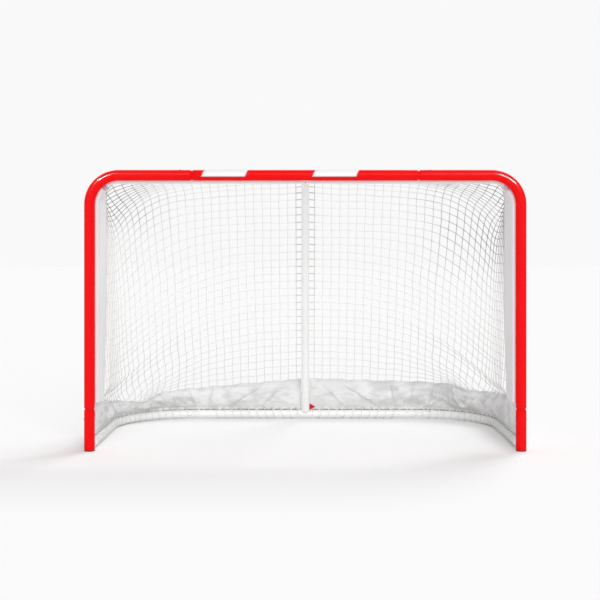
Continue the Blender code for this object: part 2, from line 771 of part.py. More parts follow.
def skirt_top(side: int, distance: float) -> float:
    """The height of the skirt's upper edge: it falls from the support to the pinch, and rises to the foot."""
    past = distance - pinch_distance()
    if past > 0.0:
        return SKIRT_PINCH_Z[side] + SKIRT_RISE[side] * past
    drop = SKIRT_MIDDLE_Z - SKIRT_FALL[side] * pinch_distance() - SKIRT_PINCH_Z[side]
    drawn = max(0.0, 1.0 + past / SKIRT_DRAW)
    return SKIRT_MIDDLE_Z - SKIRT_FALL[side] * distance - drop * drawn


def skirt_line(side: int, start: float, end: float) -> list:
    """Points just above the skirt's upper edge between two distances along half the base."""
    points = []
    for step in range(NET_EDGE_STEPS + 1):
        distance = start + (end - start) * step / NET_EDGE_STEPS
        points.append(base_point(side, distance, skirt_top(side, distance) + NET_SEAT)[0])
    return points


def add_skirt(side: int, label: str) -> bpy.types.Object:
    """Half of the canvas skirt, with its eyelets, from beside the support round to the foot."""
    middles = [distance for part in crossings() for distance in part]
    columns = [SKIRT_START_X]
    for middle in middles:
        columns += [middle - EYELET / 2, middle + EYELET / 2]
    columns = sorted([*columns, pinch_distance(), skirt_end()])
    low = BASE_Z + WHITE_R + GAP
    cloth = low + HEM + EYELET
    heights = [low, low + HEM, cloth]

    def place(column: int, row: int) -> Vector:
        distance = columns[column]
        share = max(0, row - 2) / 2
        height = heights[min(row, 2)] + (skirt_top(side, distance) - cloth) * share
        point, outward = base_point(side, distance, height)
        turns = [(size, 2 * math.pi * distance / length + start) for length, size, start in FOLD_WAVES]
        wave = sum(size * math.sin(turn) for size, turn in turns)
        taper = min(1.0, (distance - SKIRT_START_X) / FOLD_TAPER)
        return point - outward * FOLD_DEPTH * (1.0 + wave) * math.sin(math.pi * share) * taper

    skirt = add_sheet(f"{label}_skirt", len(columns) - 1, len(heights) + 1, place, CANVAS)
    shape = bmesh.new()
    shape.from_mesh(skirt.data)
    hits = []
    for face in shape.faces:
        centre = face.calc_center_median()
        if low + HEM < centre.z < cloth:
            near = [base_point(side, middle, centre.z)[0] for middle in middles]
            if min((centre - point).length for point in near) < EYELET / 4:
                hits.append(face)
    bmesh.ops.delete(shape, geom=hits, context="FACES")
    shape.to_mesh(skirt.data)
    shape.free()
    solidify(skirt, CANVAS_T, 0.0)
    return skirt


def net_centre_path() -> list:
    """The net's line over the support, from the band to the skirt, as one point a row."""
    over = SUPPORT_R + GAP + NET_T / 2
    corner, tangent = support_bend()
    radius = SUPPORT_BEND_R + over
    centre = corner - BACK * tangent - UP * SUPPORT_BEND_R
    foot = at(0.0, BASE_RUN, SKIRT_MIDDLE_Z + NET_SEAT)
    away = foot - centre
    slope = math.atan2(away.y, -away.z) + math.acos(radius / away.length) - math.pi / 2
    quarter = (math.pi / 2 - slope) / 4
    bulge = radius / math.cos(quarter)
    upper = centre + bulge * (math.cos(quarter) * UP + math.sin(quarter) * BACK)
    lower = centre + bulge * (math.cos(3 * quarter) * UP + math.sin(3 * quarter) * BACK)
    start = at(0.0, BAND_BACK, upper.z)
    roof = [start.lerp(upper, row / (ROOF_ROWS - 1)) for row in range(ROOF_ROWS)]
    return roof + [lower.lerp(foot, row / REAR_ROWS) for row in range(REAR_ROWS + 1)]


def net_side_path(side: int) -> list:
    """The net's outer edge: from the middle of the bend down the band, then along the skirt to the pinch."""
    down = [band_edge(axis, outward) + BACK * NET_SEAT for axis, outward in band_route(side)[NET_CORNER:]]
    first = sum(base_length()) - BAND_BACK - 2 * ROD_INSET
    return down + skirt_line(side, first, pinch_distance())


def net_front_path(side: int) -> list:
    """The net's front edge: over the support, then along the band's rear edge to the middle of the bend."""
    route = band_route(side)[1 : NET_CORNER + 1]
    edge = [band_edge(axis, outward) + BACK * NET_SEAT for axis, outward in route]
    start = net_centre_path()[0].copy()
    start.x = side * NET_START_X
    return [start, *edge]


def net_rear_path(side: int) -> list:
    """The net's lower edge: along the top of the skirt from the support to the pinch."""
    return skirt_line(side, NET_START_X, pinch_distance())


def net_row(start: Vector, end: Vector, down: float) -> list:
    """Points along a row: it leaves the support level, falls towards the side and turns forward."""
    fallen = min(1.0, max(0.0, (down - NET_FALL_START) / NET_FALL_RUN))
    power = NET_FLAT_POWER + (NET_FALL_POWER - NET_FLAT_POWER) * fallen
    points = []
    for step in range(NET_ROW_STEPS + 1):
        turn = math.pi / 2 * (1 - (1 - step / NET_ROW_STEPS) ** 2)
        across, level = math.sin(turn), max(math.cos(turn), 0.0) ** NET_BULGE
        x = start.x + (end.x - start.x) * across
        y = end.y + (start.y - end.y) * level
        z = end.z + (start.z - end.z) * (1 - across**power)
        points.append(Vector((x, y, z)))
    return points


def net_corner(column: int, row: int, paths: dict) -> Vector:
    """A corner of the net's grid: evenly spaced along its row, and drawn to the front and rear edges."""
    u, v = column / NET_COLUMNS, row / NET_ROWS
    inner = paths["centre"][row].copy()
    inner.x = paths["front"][0].x
    landing = v - NET_ROW_LAG * math.sin(math.pi * v)
    surface = along(net_row(inner, along(paths["side"], landing), v), u)
    front_row = net_row(paths["front"][0], paths["side"][0], 0.0)
    rear_row = net_row(paths["rear"][0], paths["side"][-1], 1.0)
    front_pull = along(paths["front"], u) - along(front_row, u)
    rear_pull = along(paths["rear"], u) - along(rear_row, u)
    return surface + front_pull * (1 - v) ** NET_EDGE_HOLD + rear_pull * v**NET_EDGE_HOLD


def add_net_panel(name: str, columns: tuple, rows: tuple, paths: dict) -> bpy.types.Object:
    """One panel of square mesh: each face of the grid becomes a gap with cords round it."""

    def place(column: int, row: int) -> Vector:
        return net_corner(columns[0] + column, rows[0] + row, paths)

    panel = add_sheet(name, columns[1] - columns[0], rows[1] - rows[0], place, NET)
    shape = bmesh.new()
    shape.from_mesh(panel.data)
    rim = [edge for edge in shape.edges if edge.is_boundary]
    trimmed = {}
    for corner in {corner for edge in rim for corner in edge.verts}:
        inward = Vector()
        for edge in corner.link_edges:
            if not edge.is_boundary:
                inward += (edge.other_vert(corner).co - corner.co).normalized()
        if inward.length < 0.5:
            for edge in corner.link_edges:
                inward += (edge.other_vert(corner).co - corner.co).normalized()
        trimmed[corner] = corner.co + inward * NET_SPLIT / 2
    for corner, moved in trimmed.items():
        corner.co = moved
    bmesh.ops.inset_individual(shape, faces=shape.faces[:], thickness=NET_CORD / 2, use_even_offset=True)
    cells = [face for face in shape.faces if all(len(corner.link_faces) == 3 for corner in face.verts)]
    bmesh.ops.delete(shape, geom=cells, context="FACES")
    shape.to_mesh(panel.data)
    shape.free()
    solidify(panel, NET_T, 0.0)
    return panel


def add_net(side: int, label: str) -> None:
    """The roof, rear and side panels of half the net."""
    paths = {
        "centre": net_centre_path(),
        "side": net_side_path(side),
        "front": net_front_path(side),
        "rear": net_rear_path(side),
    }
    split = NET_COLUMNS - NET_SIDE_COLUMNS
    add_net_panel(f"{label}_roof_net", (0, split), (0, ROOF_ROWS), paths)
    add_net_panel(f"{label}_rear_net", (0, split), (ROOF_ROWS, NET_ROWS), paths)
    add_net_panel(f"{label}_side_net", (split, NET_COLUMNS), (0, NET_ROWS), paths)


def add_label(name: str, middle: float) -> bpy.types.Object:
    """A bare label with slanted ends, stuck on the upper front of the crossbar."""

    def place(column: int, row: int) -> Vector:
        turn = LABEL_LOW + (LABEL_HIGH - LABEL_LOW) * row / LABEL_STEPS
        x = middle + LABEL_HALF_LENGTH * (2 * column - 1) + LABEL_SLANT * (row / LABEL_STEPS - 0.5)
        return at(x, -LABEL_R * math.cos(turn), BAR_Z + LABEL_R * math.sin(turn))

    label = add_sheet(name, 1, LABEL_STEPS, place, LABEL)
    solidify(label, LABEL_T, 1.0)
    return label


def add_strap_end() -> bpy.types.Object:
    """The cut corner of red webbing that stands on the rear tube beside the sleeve."""
    curve = bpy.data.curves.new("strap_end", "CURVE")
    curve.dimensions = "2D"
    curve.fill_mode = "BOTH"
    curve.extrude = STRAP_T / 2
    outline = curve.splines.new("POLY")
    outline.points.add(2)
    corners = ((0.0, 0.0), (STRAP_WIDTH, STRAP_HEIGHT / 2), (0.0, STRAP_HEIGHT))
    for knot, corner in zip(outline.points, corners):
        knot.co = (*corner, 0.0, 1.0)
    outline.use_cyclic_u = True
    strap = bpy.data.objects.new("strap_end", curve)
    curve.materials.append(STRAP)
    PARTS.objects.link(strap)
    strap.rotation_euler = (math.pi / 2, 0.0, 0.0)
    beside = sleeve_bore() + SLEEVE_WALL + GAP
    strap.location = at(beside, BASE_RUN - CANVAS_T - STRAP_CLEAR - STRAP_T, BASE_Z + WHITE_R + GAP)
    return strap


def build() -> None:
    """Model every piece of the goal."""
    pieces = {
        "crossbar": add_crossbar(),
        "rear_base_tube": add_rear_tube(),
        "centre_support": add_support(),
    }
    rear_passes, side_passes = crossings()
    for side, label in ((-1, "left"), (1, "right")):
        pieces[f"{label}_post_corner"] = add_post_corner(side, label)
        pieces[f"{label}_foot"] = add_foot(side, label)
        pieces[f"{label}_base_rail"] = add_base_rail(side, label)
        add_foot_cap(side, label)
        add_band(side, label)
        add_skirt(side, label)
        add_lace(f"{label}_rear_lace", side, rear_passes)
        add_lace(f"{label}_side_lace", side, side_passes)
        add_net(side, label)
    bracket = add_bracket()
    add_bracket_screw(-1, "left", pieces["crossbar"], bracket)
    add_bracket_screw(1, "right", pieces["crossbar"], bracket)
    add_buttons(pieces)
    add_lacing_bars()
    add_label("left_label", LEFT_LABEL_X)
    add_label("right_label", RIGHT_LABEL_X)
    add_strap_end()


build()
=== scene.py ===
"""Hockey goal: the fine surface and finishes of a full-size steel tube goal with its net, canvas and lacing.

Everything is in metres in the frame of the loaded model: +Z is up, the mouth faces -Y and the base runs back
towards +Y. Depths are measured back from the plane of the posts' axes.
"""

import logging
import math
from dataclasses import dataclass, field
from enum import Enum
from typing import Callable, Iterable, Sequence

import bmesh
import bpy
from mathutils import Matrix, Vector, noise


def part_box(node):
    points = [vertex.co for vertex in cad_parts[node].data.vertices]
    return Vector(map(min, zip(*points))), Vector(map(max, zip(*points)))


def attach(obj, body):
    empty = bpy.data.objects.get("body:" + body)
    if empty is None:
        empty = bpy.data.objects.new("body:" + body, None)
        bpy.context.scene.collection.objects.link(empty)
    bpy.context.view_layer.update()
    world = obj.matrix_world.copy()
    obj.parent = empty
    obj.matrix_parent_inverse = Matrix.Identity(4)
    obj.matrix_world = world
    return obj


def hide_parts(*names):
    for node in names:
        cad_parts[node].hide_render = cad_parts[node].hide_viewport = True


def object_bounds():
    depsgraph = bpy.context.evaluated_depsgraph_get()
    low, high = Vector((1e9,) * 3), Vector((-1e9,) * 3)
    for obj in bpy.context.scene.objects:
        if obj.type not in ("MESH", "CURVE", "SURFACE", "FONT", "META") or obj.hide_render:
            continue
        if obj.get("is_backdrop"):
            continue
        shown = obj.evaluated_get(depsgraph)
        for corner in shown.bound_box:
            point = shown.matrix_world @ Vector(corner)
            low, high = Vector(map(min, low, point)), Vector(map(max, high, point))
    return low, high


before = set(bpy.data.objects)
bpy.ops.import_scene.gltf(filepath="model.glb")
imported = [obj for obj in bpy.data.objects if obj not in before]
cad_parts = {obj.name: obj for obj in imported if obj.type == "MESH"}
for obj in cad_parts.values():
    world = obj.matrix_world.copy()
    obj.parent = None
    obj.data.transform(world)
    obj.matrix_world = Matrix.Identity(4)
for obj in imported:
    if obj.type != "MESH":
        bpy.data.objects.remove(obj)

CAD_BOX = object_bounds()
LOG = logging.getLogger("hockey_goal")
UP = Vector((0.0, 0.0, 1.0))
BACK = Vector((0.0, 1.0, 0.0))
RIGHT = Vector((1.0, 0.0, 0.0))
WHOLE_TURN = 2.0 * math.pi
POST_Y = sum(corner[1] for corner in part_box("left_post_corner")) / 2


class Side(Enum):
    """The two sides of the goal, as someone who faces the mouth sees them."""

    LEFT = -1
    RIGHT = 1

    @property
    def label(self) -> str:
        """The word that starts the names of this side's pieces."""
        return self.name.lower()

    @property
    def out(self) -> Vector:
        """The direction out of the goal on this side."""
        return RIGHT * self.value


def smooth_step(value: float) -> float:
    """Ease a value from 0 to 1."""
    clipped = min(1.0, max(0.0, value))
    return clipped * clipped * (3.0 - 2.0 * clipped)


def arc(centre: Vector, first: Vector, second: Vector, radius: float, angle: float, steps: int) -> list[Vector]:
    """Points round a centre.

    Args:
        centre: The middle of the arc.
        first: The direction in which the arc starts.
        second: The direction towards which it turns.
        radius: The arc's radius.
        angle: How far it turns.
        steps: How many chords it has.

    Returns:
        The points, one more than the steps.
    """
    turns = [angle * step / steps for step in range(steps + 1)]
    return [centre + radius * (math.cos(turn) * first + math.sin(turn) * second) for turn in turns]


class Path:
    """A polyline that can be read at any share of its length."""

    def __init__(self, points: Sequence[Vector]) -> None:
        """Measure the polyline.

        Args:
            points: Its corners in order.
        """
        self.points = [point.copy() for point in points]
        self.marks = [0.0]
        for start, end in zip(self.points, self.points[1:]):
            self.marks.append(self.marks[-1] + (end - start).length)

    @property
    def length(self) -> float:
        """The length of the whole polyline."""
        return self.marks[-1]

    def at(self, share: float) -> Vector:
        """The point at this share of the way along."""
        reach = min(max(share, 0.0), 1.0) * self.length
        low, high = 0, len(self.marks) - 2
        while low < high:
            middle = (low + high + 1) // 2
            if self.marks[middle] <= reach:
                low = middle
            else:
                high = middle - 1
        span = self.marks[low + 1] - self.marks[low]
        return self.points[low].lerp(self.points[low + 1], (reach - self.marks[low]) / span if span else 0.0)


@dataclass(frozen=True)
class GoalPlan:
    """Sizes that several of the goal's pieces share, in metres, and the lines that they are built on."""

    post_y: float = POST_Y
    gap: float = 0.0003
    facet: float = math.cos(math.pi / 16)
    red_r: float = 0.023
    red_wall: float = 0.002
    white_r: float = 0.0205
    white_wall: float = 0.0018
    post_x: float = 0.9375
    bar_z: float = 1.197
    corner_r: float = 0.126
    frame_seam_x: float = 0.4975
    post_seam_z: float = 0.177
    swage: float = 0.003
    neck: float = 0.008
    spigot: float = 0.09
    seam: float = 0.0006
    base_run: float = 0.9725
    base_corner_r: float = 0.37
    base_z: float = 0.0243
    support_r: float = 0.019
    support_lean: float = math.radians(18.5)
    support_bend_r: float = 0.15
    sleeve_length: float = 0.1235
    sleeve_wall: float = 0.0014
    rod_r: float = 0.0035
    rod_inset: float = 0.031
    rod_back: float = 0.018
    band_back: float = 0.12
    band_bottom_z: float = 0.225
    band_inner_x: float = 0.0245
    band_lift: float = 0.03
    band_slant: float = 0.022
    slant_loss: float = 0.5
    slant_fall_z: float = 0.65
    slant_fall: float = 0.42
    skirt_start_x: float = 0.0225
    skirt_front: float = 0.0236
    skirt_middle_z: float = 0.2065
    skirt_fall: tuple[float, float] = (0.09, 0.03)
    skirt_pinch_z: tuple[float, float] = (0.096, 0.154)
    skirt_rise: tuple[float, float] = (0.136, 0.078)
    skirt_draw: float = 0.0976
    skirt_ripple: float = 0.0022
    pinch: float = math.radians(43)

    @property
    def rear_seam_x(self) -> float:
        """How far from the middle the rear tube meets the base rails."""
        return self.post_x - self.base_corner_r

    @property
    def pinch_distance(self) -> float:
        """How far along half the base the net draws the skirt down."""
        return self.rear_seam_x + self.base_corner_r * self.pinch

    @property
    def sleeve_bore(self) -> float:
        """The bore of the sleeve that takes the support's foot."""
        return (self.support_r + self.gap) / self.facet

    @property
    def lean_axis(self) -> Vector:
        """The direction of the support's lower run, upwards."""
        return Vector((0.0, -math.sin(self.support_lean), math.cos(self.support_lean)))

    def at(self, x: float, depth: float, z: float) -> Vector:
        """The place at this distance behind the plane of the posts' axes."""
        return Vector((x, self.post_y + depth, z))

    def spigot_radius(self, outer: float, wall: float) -> float:
        """The radius of a tube end that slides into a tube of this outer radius and wall."""
        return (outer - wall) * self.facet - self.gap

    def frame_arc(self, side: Side, radius: float, depth: float, steps: int = 40) -> list[Vector]:
        """Points round a top corner of the front frame, from the crossbar to the post.

        Args:
            side: The side of the goal.
            radius: The arc's radius.
            depth: How far behind the posts it lies.
            steps: How many chords it has.

        Returns:
            The points in order.
        """
        centre = self.at(side.value * (self.post_x - self.corner_r), depth, self.bar_z - self.corner_r)
        return arc(centre, UP, side.out, radius, math.pi / 2, steps)

    def base_arc(self, side: Side, radius: float, z: float, start: float, end: float, steps: int) -> list[Vector]:
        """Points round a rear corner of the base.

        Args:
            side: The side of the goal.
            radius: The arc's radius.
            z: Its height.
            start: The first angle, counted in turn from the rear tube towards the rail.
            end: The last angle.
            steps: How many chords it has.

        Returns:
            The points in order.
        """
        centre = self.at(side.value * self.rear_seam_x, self.base_run - self.base_corner_r, z)
        first = math.cos(start) * BACK + math.sin(start) * side.out
        second = -math.sin(start) * BACK + math.cos(start) * side.out
        return arc(centre, first, second, radius, end - start, steps)

    @property
    def half_base(self) -> float:
        """The length of half the base's axis, from its middle to the post."""
        return self.rear_seam_x + self.base_corner_r * math.pi / 2 + self.base_run - self.base_corner_r

    def base_point(self, side: Side, distance: float, z: float) -> tuple[Vector, Vector]:
        """A point along half the base.

        Args:
            side: The side of the goal.
            distance: How far along the base's axis from its middle.
            z: The height.

        Returns:
            The point, and the way straight out of the goal there.
        """
        rear, bend = self.rear_seam_x, self.base_corner_r * math.pi / 2
        if distance < rear:
            return self.at(side.value * distance, self.base_run, z), BACK.copy()
        if distance > rear + bend:
            run = self.base_run - self.base_corner_r - (distance - rear - bend)
            return self.at(side.value * self.post_x, run, z), side.out
        turn = (distance - rear) / self.base_corner_r
        outward = math.cos(turn) * BACK + math.sin(turn) * side.out
        centre = self.at(side.value * rear, self.base_run - self.base_corner_r, z)
        return centre + outward * self.base_corner_r, outward

    def skirt_top(self, side: Side, distance: float) -> float:
        """The height of the skirt's upper edge, which stands at the support and is drawn down at the pinch.

        Args:
            side: The side of the goal.
            distance: How far along half the base from its middle.

        Returns:
            The height.
        """
        number = 0 if side is Side.LEFT else 1
        past = distance - self.pinch_distance
        ripple = math.sin(distance * 43.0 + number) + 0.7 * math.sin(distance * 97.0 + 2.0 * number)
        ripple *= self.skirt_ripple * smooth_step(distance / 0.15) * smooth_step(abs(past) / 0.05)
        ripple *= 1.0 - smooth_step((distance - 1.5) / 0.15)
        if past > 0.0:
            return self.skirt_pinch_z[number] + self.skirt_rise[number] * past + ripple
        fall = self.skirt_fall[number]
        drop = self.skirt_middle_z - fall * self.pinch_distance - self.skirt_pinch_z[number]
        return self.skirt_middle_z - fall * distance - drop * max(0.0, 1.0 + past / self.skirt_draw) + ripple

    def support_bend(self) -> tuple[Vector, float]:
        """The corner where the support's two straight runs would meet, and the length from it to the bend."""
        fall = (self.bar_z - self.base_z) * math.tan(self.support_lean)
        corner = self.at(0.0, self.base_run - fall, self.bar_z)
        return corner, self.support_bend_r * math.tan((math.pi / 2 - self.support_lean) / 2)

    def band_route(self, side: Side, steps: int = 1) -> list[tuple[Vector, Vector]]:
        """Stations along a canvas band.

        Args:
            side: The side of the goal.
            steps: How many times finer than the plainest route it is.

        Returns:
            The lacing bar's axis at each station, with the way outwards to the red tube.
        """
        rod_z = self.bar_z - self.rod_inset
        arm_end = self.post_x - self.corner_r
        top = self.bar_z - self.corner_r
        stations = []
        for step in range(3 * steps):
            x = self.band_inner_x + (arm_end - self.band_inner_x) * step / (3 * steps)
            stations.append((self.at(side.value * x, self.rod_back, rod_z), UP))
        bend = self.frame_arc(side, self.corner_r - self.rod_inset, self.rod_back, 8 * steps)
        for step, point in enumerate(bend):
            turn = math.pi / 2 * step / (len(bend) - 1)
            stations.append((point, math.cos(turn) * UP + math.sin(turn) * side.out))
        for step in range(1, 3 * steps + 1):
            z = top + (self.band_bottom_z - top) * step / (3 * steps)
            stations.append((self.at(side.value * (self.post_x - self.rod_inset), self.rod_back, z), side.out))
        return stations

    def band_edge(self, axis: Vector, outward: Vector) -> Vector:
        """Where a band's rear edge lies, at this station along the bar."""
        drawn = smooth_step((self.slant_fall_z - axis.z) / self.slant_fall)
        slant = self.band_slant * (1 - self.slant_loss * drawn)
        lift = self.band_lift * outward.z**2 - slant * (1 - outward.z**2)
        return axis + BACK * (self.band_back - self.rod_back) + outward * lift


PLAN = GoalPlan()


class Link:
    """A node's output, with Python's arithmetic on the values that it carries."""

    def __init__(self, recipe: "Recipe", socket: bpy.types.NodeSocket) -> None:
        """Keep an output with its recipe.

        Args:
            recipe: The recipe that the node belongs to.
            socket: The node's output.
        """
        self.recipe = recipe
        self.socket = socket

    def maths(self, operation: str, *others: "Link | float") -> "Link":
        """Work a Math node on this value.

        Args:
            operation: The Math node's operation.
            others: The further values or links.

        Returns:
            The node's result.
        """
        return self.recipe.node("ShaderNodeMath", {"operation": operation}, dict(enumerate((self, *others))))

    def __add__(self, other: "Link | float") -> "Link":
        """This value and another."""
        return self.maths("ADD", other)

    __radd__ = __add__

    def __sub__(self, other: "Link | float") -> "Link":
        """This value less another."""
        return self.maths("SUBTRACT", other)

    def __rsub__(self, other: float) -> "Link":
        """A number less this value."""
        return self.maths("MULTIPLY", -1.0) + other

    def __mul__(self, other: "Link | float") -> "Link":
        """This value times another."""
        return self.maths("MULTIPLY", other)

    __rmul__ = __mul__

    def __truediv__(self, other: "Link | float") -> "Link":
        """This value divided by another."""
        return self.maths("DIVIDE", other)

    def __abs__(self) -> "Link":
        """The size of this value."""
        return self.maths("ABSOLUTE")

    def sine(self) -> "Link":
        """The sine of this value."""
        return self.maths("SINE")

    def fraction(self) -> "Link":
        """What is left of this value past its whole number."""
        return self.maths("FRACT")

    def least(self, other: "Link | float") -> "Link":
        """The smaller of this value and another."""
        return self.maths("MINIMUM", other)

    def ease(self, low: float, high: float) -> "Link":
        """Ease from 0 to 1 as this value goes from low to high."""
        settings = {"interpolation_type": "SMOOTHSTEP"}
        return self.recipe.node("ShaderNodeMapRange", settings, {0: self, 1: low, 2: high, 3: 0.0, 4: 1.0})


class Recipe:
    """The nodes of one material, which end in its Principled shader."""

    def __init__(self, name: str) -> None:
        """Start a material.

        Args:
            name: The material's name.
        """
        self.material = bpy.data.materials.new(name)
        self.material.use_nodes = True
        self.tree = self.material.node_tree
        self.shader = self.tree.nodes["Principled BSDF"]

    def node(self, kind: str, settings: dict | None = None, sockets: dict | None = None, output: int = 0) -> Link:
        """Add a node.

        Args:
            kind: The node's type.
            settings: Its own settings, which are set first.
            sockets: A value or a link for each input, by name or number.
            output: The number of the output that is read.

        Returns:
            The output.
        """
        made = self.tree.nodes.new(kind)
        for name, setting in (settings or {}).items():
            setattr(made, name, setting)
        for name, value in (sockets or {}).items():
            if isinstance(value, Link):
                self.tree.links.new(value.socket, made.inputs[name])
            else:
                made.inputs[name].default_value = value
        return Link(self, made.outputs[output])

    def place(self) -> Link:
        """The place on the object, in metres."""
        return self.node("ShaderNodeTexCoord", output=3)

    def lay(self) -> Link:
        """The place on the piece's own lay map, in metres along the cloth or cord."""
        return self.node("ShaderNodeUVMap", {"uv_map": "lay"})

    def split(self, vector: Link) -> tuple[Link, Link, Link]:
        """The three numbers of a vector."""
        parts = self.node("ShaderNodeSeparateXYZ", sockets={0: vector}).socket.node.outputs
        return Link(self, parts[0]), Link(self, parts[1]), Link(self, parts[2])

    def stretched(self, vector: Link, scale: tuple[float, float, float]) -> Link:
        """A vector with each of its numbers scaled."""
        return self.node("ShaderNodeMapping", sockets={"Vector": vector, "Scale": scale})

    def mottle(self, vector: Link, scale: float, detail: float = 2.0) -> Link:
        """Soft noise from 0 to 1."""
        return self.node("ShaderNodeTexNoise", sockets={"Vector": vector, "Scale": scale, "Detail": detail})

    def tint(self, share: Link, first: Sequence[float] | Link, second: Sequence[float] | Link) -> Link:
        """A colour between two colours.

        Args:
            share: How much there is of the second colour.
            first: The first colour.
            second: The second colour.

        Returns:
            The mixed colour.
        """
        colours = [value if isinstance(value, Link) else (*value, 1.0) for value in (first, second)]
        sockets = {0: share, 6: colours[0], 7: colours[1]}
        return self.node("ShaderNodeMix", {"data_type": "RGBA"}, sockets, output=2)

    def relief(self, height: Link, depth: float, strength: float = 1.0) -> Link:
        """A Bump node on a height of 0 to 1 that stands for this depth in metres."""
        return self.node("ShaderNodeBump", sockets={"Strength": strength, "Distance": depth, "Height": height})

    def constants(self, **values: float) -> None:
        """Set numbers on the shader's own sockets, with spaces written as underscores."""
        for name, value in values.items():
            self.shader.inputs[name.replace("_", " ")].default_value = value

    def finish(self, colour: Link, roughness: Link, normal: Link) -> bpy.types.Material:
        """Feed the shader.

        Args:
            colour: The base colour.
            roughness: The roughness.
            normal: The normal, from a Bump node.

        Returns:
            The finished material.
        """
        for name, link in (("Base Color", colour), ("Roughness", roughness), ("Normal", normal)):
            self.tree.links.new(link.socket, self.shader.inputs[name])
        return self.material


def shade(colour: Sequence[float], share: float) -> tuple[float, ...]:
    """A colour made darker or lighter by this share."""
    return tuple(min(1.0, part * share) for part in colour)


@dataclass(frozen=True)
class PowderCoat:
    """Baked powder paint on steel: a slight orange peel, with scuffs and dust near the floor."""

    name: str
    colour: tuple[float, float, float]
    roughness: float
    scuff: tuple[float, float, float]
    scuff_top: float = 0.25
    gloss: float = 0.5
    coat: float = 0.3

    def material(self) -> bpy.types.Material:
        """Make the material."""
        recipe = Recipe(self.name)
        place = recipe.place()
        height = recipe.split(place)[2]
        cloud = recipe.mottle(place, 7.0, 3.0)
        peel = recipe.mottle(place, 520.0, 2.0)
        streaks = recipe.mottle(recipe.stretched(place, (40.0, 40.0, 190.0)), 1.0, 4.0)
        low = 1.0 - height.ease(0.0, self.scuff_top)
        scuffs = streaks.ease(0.6, 0.72) * (low * 0.75 + 0.06)
        colour = recipe.tint(cloud, shade(self.colour, 0.95), self.colour)
        colour = recipe.tint(scuffs, colour, self.scuff)
        roughness = cloud * 0.06 + scuffs * 0.3 + peel * 0.05 + (self.roughness - 0.05)
        recipe.constants(Specular_IOR_Level=self.gloss, Coat_Weight=self.coat, Coat_Roughness=0.07)
        return recipe.finish(colour, roughness, recipe.relief(peel + scuffs * 0.4, 0.00006))


@dataclass(frozen=True)
class PlatedSteel:
    """Bare or zinc plated steel, drawn or turned, with dull spots."""

    name: str
    colour: tuple[float, float, float]
    roughness: float
    grain: float

    def material(self) -> bpy.types.Material:
        """Make the material."""
        recipe = Recipe(self.name)
        place = recipe.place()
        spots = recipe.mottle(place, 260.0, 3.0)
        lines = recipe.mottle(recipe.stretched(place, (self.grain, self.grain, self.grain * 14.0)), 1.0, 2.0)
        colour = recipe.tint(spots.ease(0.4, 0.7), self.colour, shade(self.colour, 0.72))
        roughness = spots * 0.18 + lines * 0.08 + (self.roughness - 0.08)
        recipe.constants(Metallic=1.0)
        return recipe.finish(colour, roughness, recipe.relief(lines, 0.00003))


@dataclass(frozen=True)
class MouldedPlastic:
    """Black moulded plastic with a fine spark grain, scratched where it stands on the floor."""

    name: str
    colour: tuple[float, float, float]

    def material(self) -> bpy.types.Material:
        """Make the material."""
        recipe = Recipe(self.name)
        place = recipe.place()
        grain = recipe.mottle(place, 1500.0, 1.0)
        scratches = recipe.mottle(recipe.stretched(place, (900.0, 60.0, 300.0)), 1.0, 3.0).ease(0.62, 0.7)
        colour = recipe.tint(scratches, self.colour, (0.09, 0.09, 0.09))
        roughness = grain * 0.15 + scratches * 0.2 + 0.45
        return recipe.finish(colour, roughness, recipe.relief(grain, 0.00005))


@dataclass(frozen=True)
class BraidedCord:
    """Braided synthetic cord: strands that cross round the cord, with a soft sheen."""

    name: str
    colour: tuple[float, float, float]
    strand: float
    strands: int

    def material(self) -> bpy.types.Material:
        """Make the material."""
        recipe = Recipe(self.name)
        place = recipe.place()
        round_it, along, _ = recipe.split(recipe.lay())
        turn = round_it * (WHOLE_TURN * self.strands)
        run = along * (WHOLE_TURN / self.strand)
        plait = abs((turn + run).sine()).least(abs((turn - run).sine()))
        fuzz = recipe.mottle(place, 900.0, 2.0)
        cloud = recipe.mottle(place, 11.0, 3.0)
        # Painted shade: the colour darkens in the grooves between the strands.
        colour = recipe.tint(plait.ease(0.0, 0.5), shade(self.colour, 0.86), self.colour)
        colour = recipe.tint(cloud.ease(0.35, 0.75) * 0.5, colour, shade(self.colour, 0.93))
        colour = self.worn(recipe, place, colour)
        roughness = fuzz * 0.15 + 0.75
        recipe.constants(Sheen_Weight=0.15, Sheen_Roughness=0.5, Specular_IOR_Level=0.3)
        return recipe.finish(colour, roughness, recipe.relief(plait * 0.7 + fuzz * 0.3, 0.0004))

    def worn(self, recipe: Recipe, place: Link, colour: Link) -> Link:
        """The cord's colour with its greying and painted shade, of which a plain braided cord has none."""
        return colour


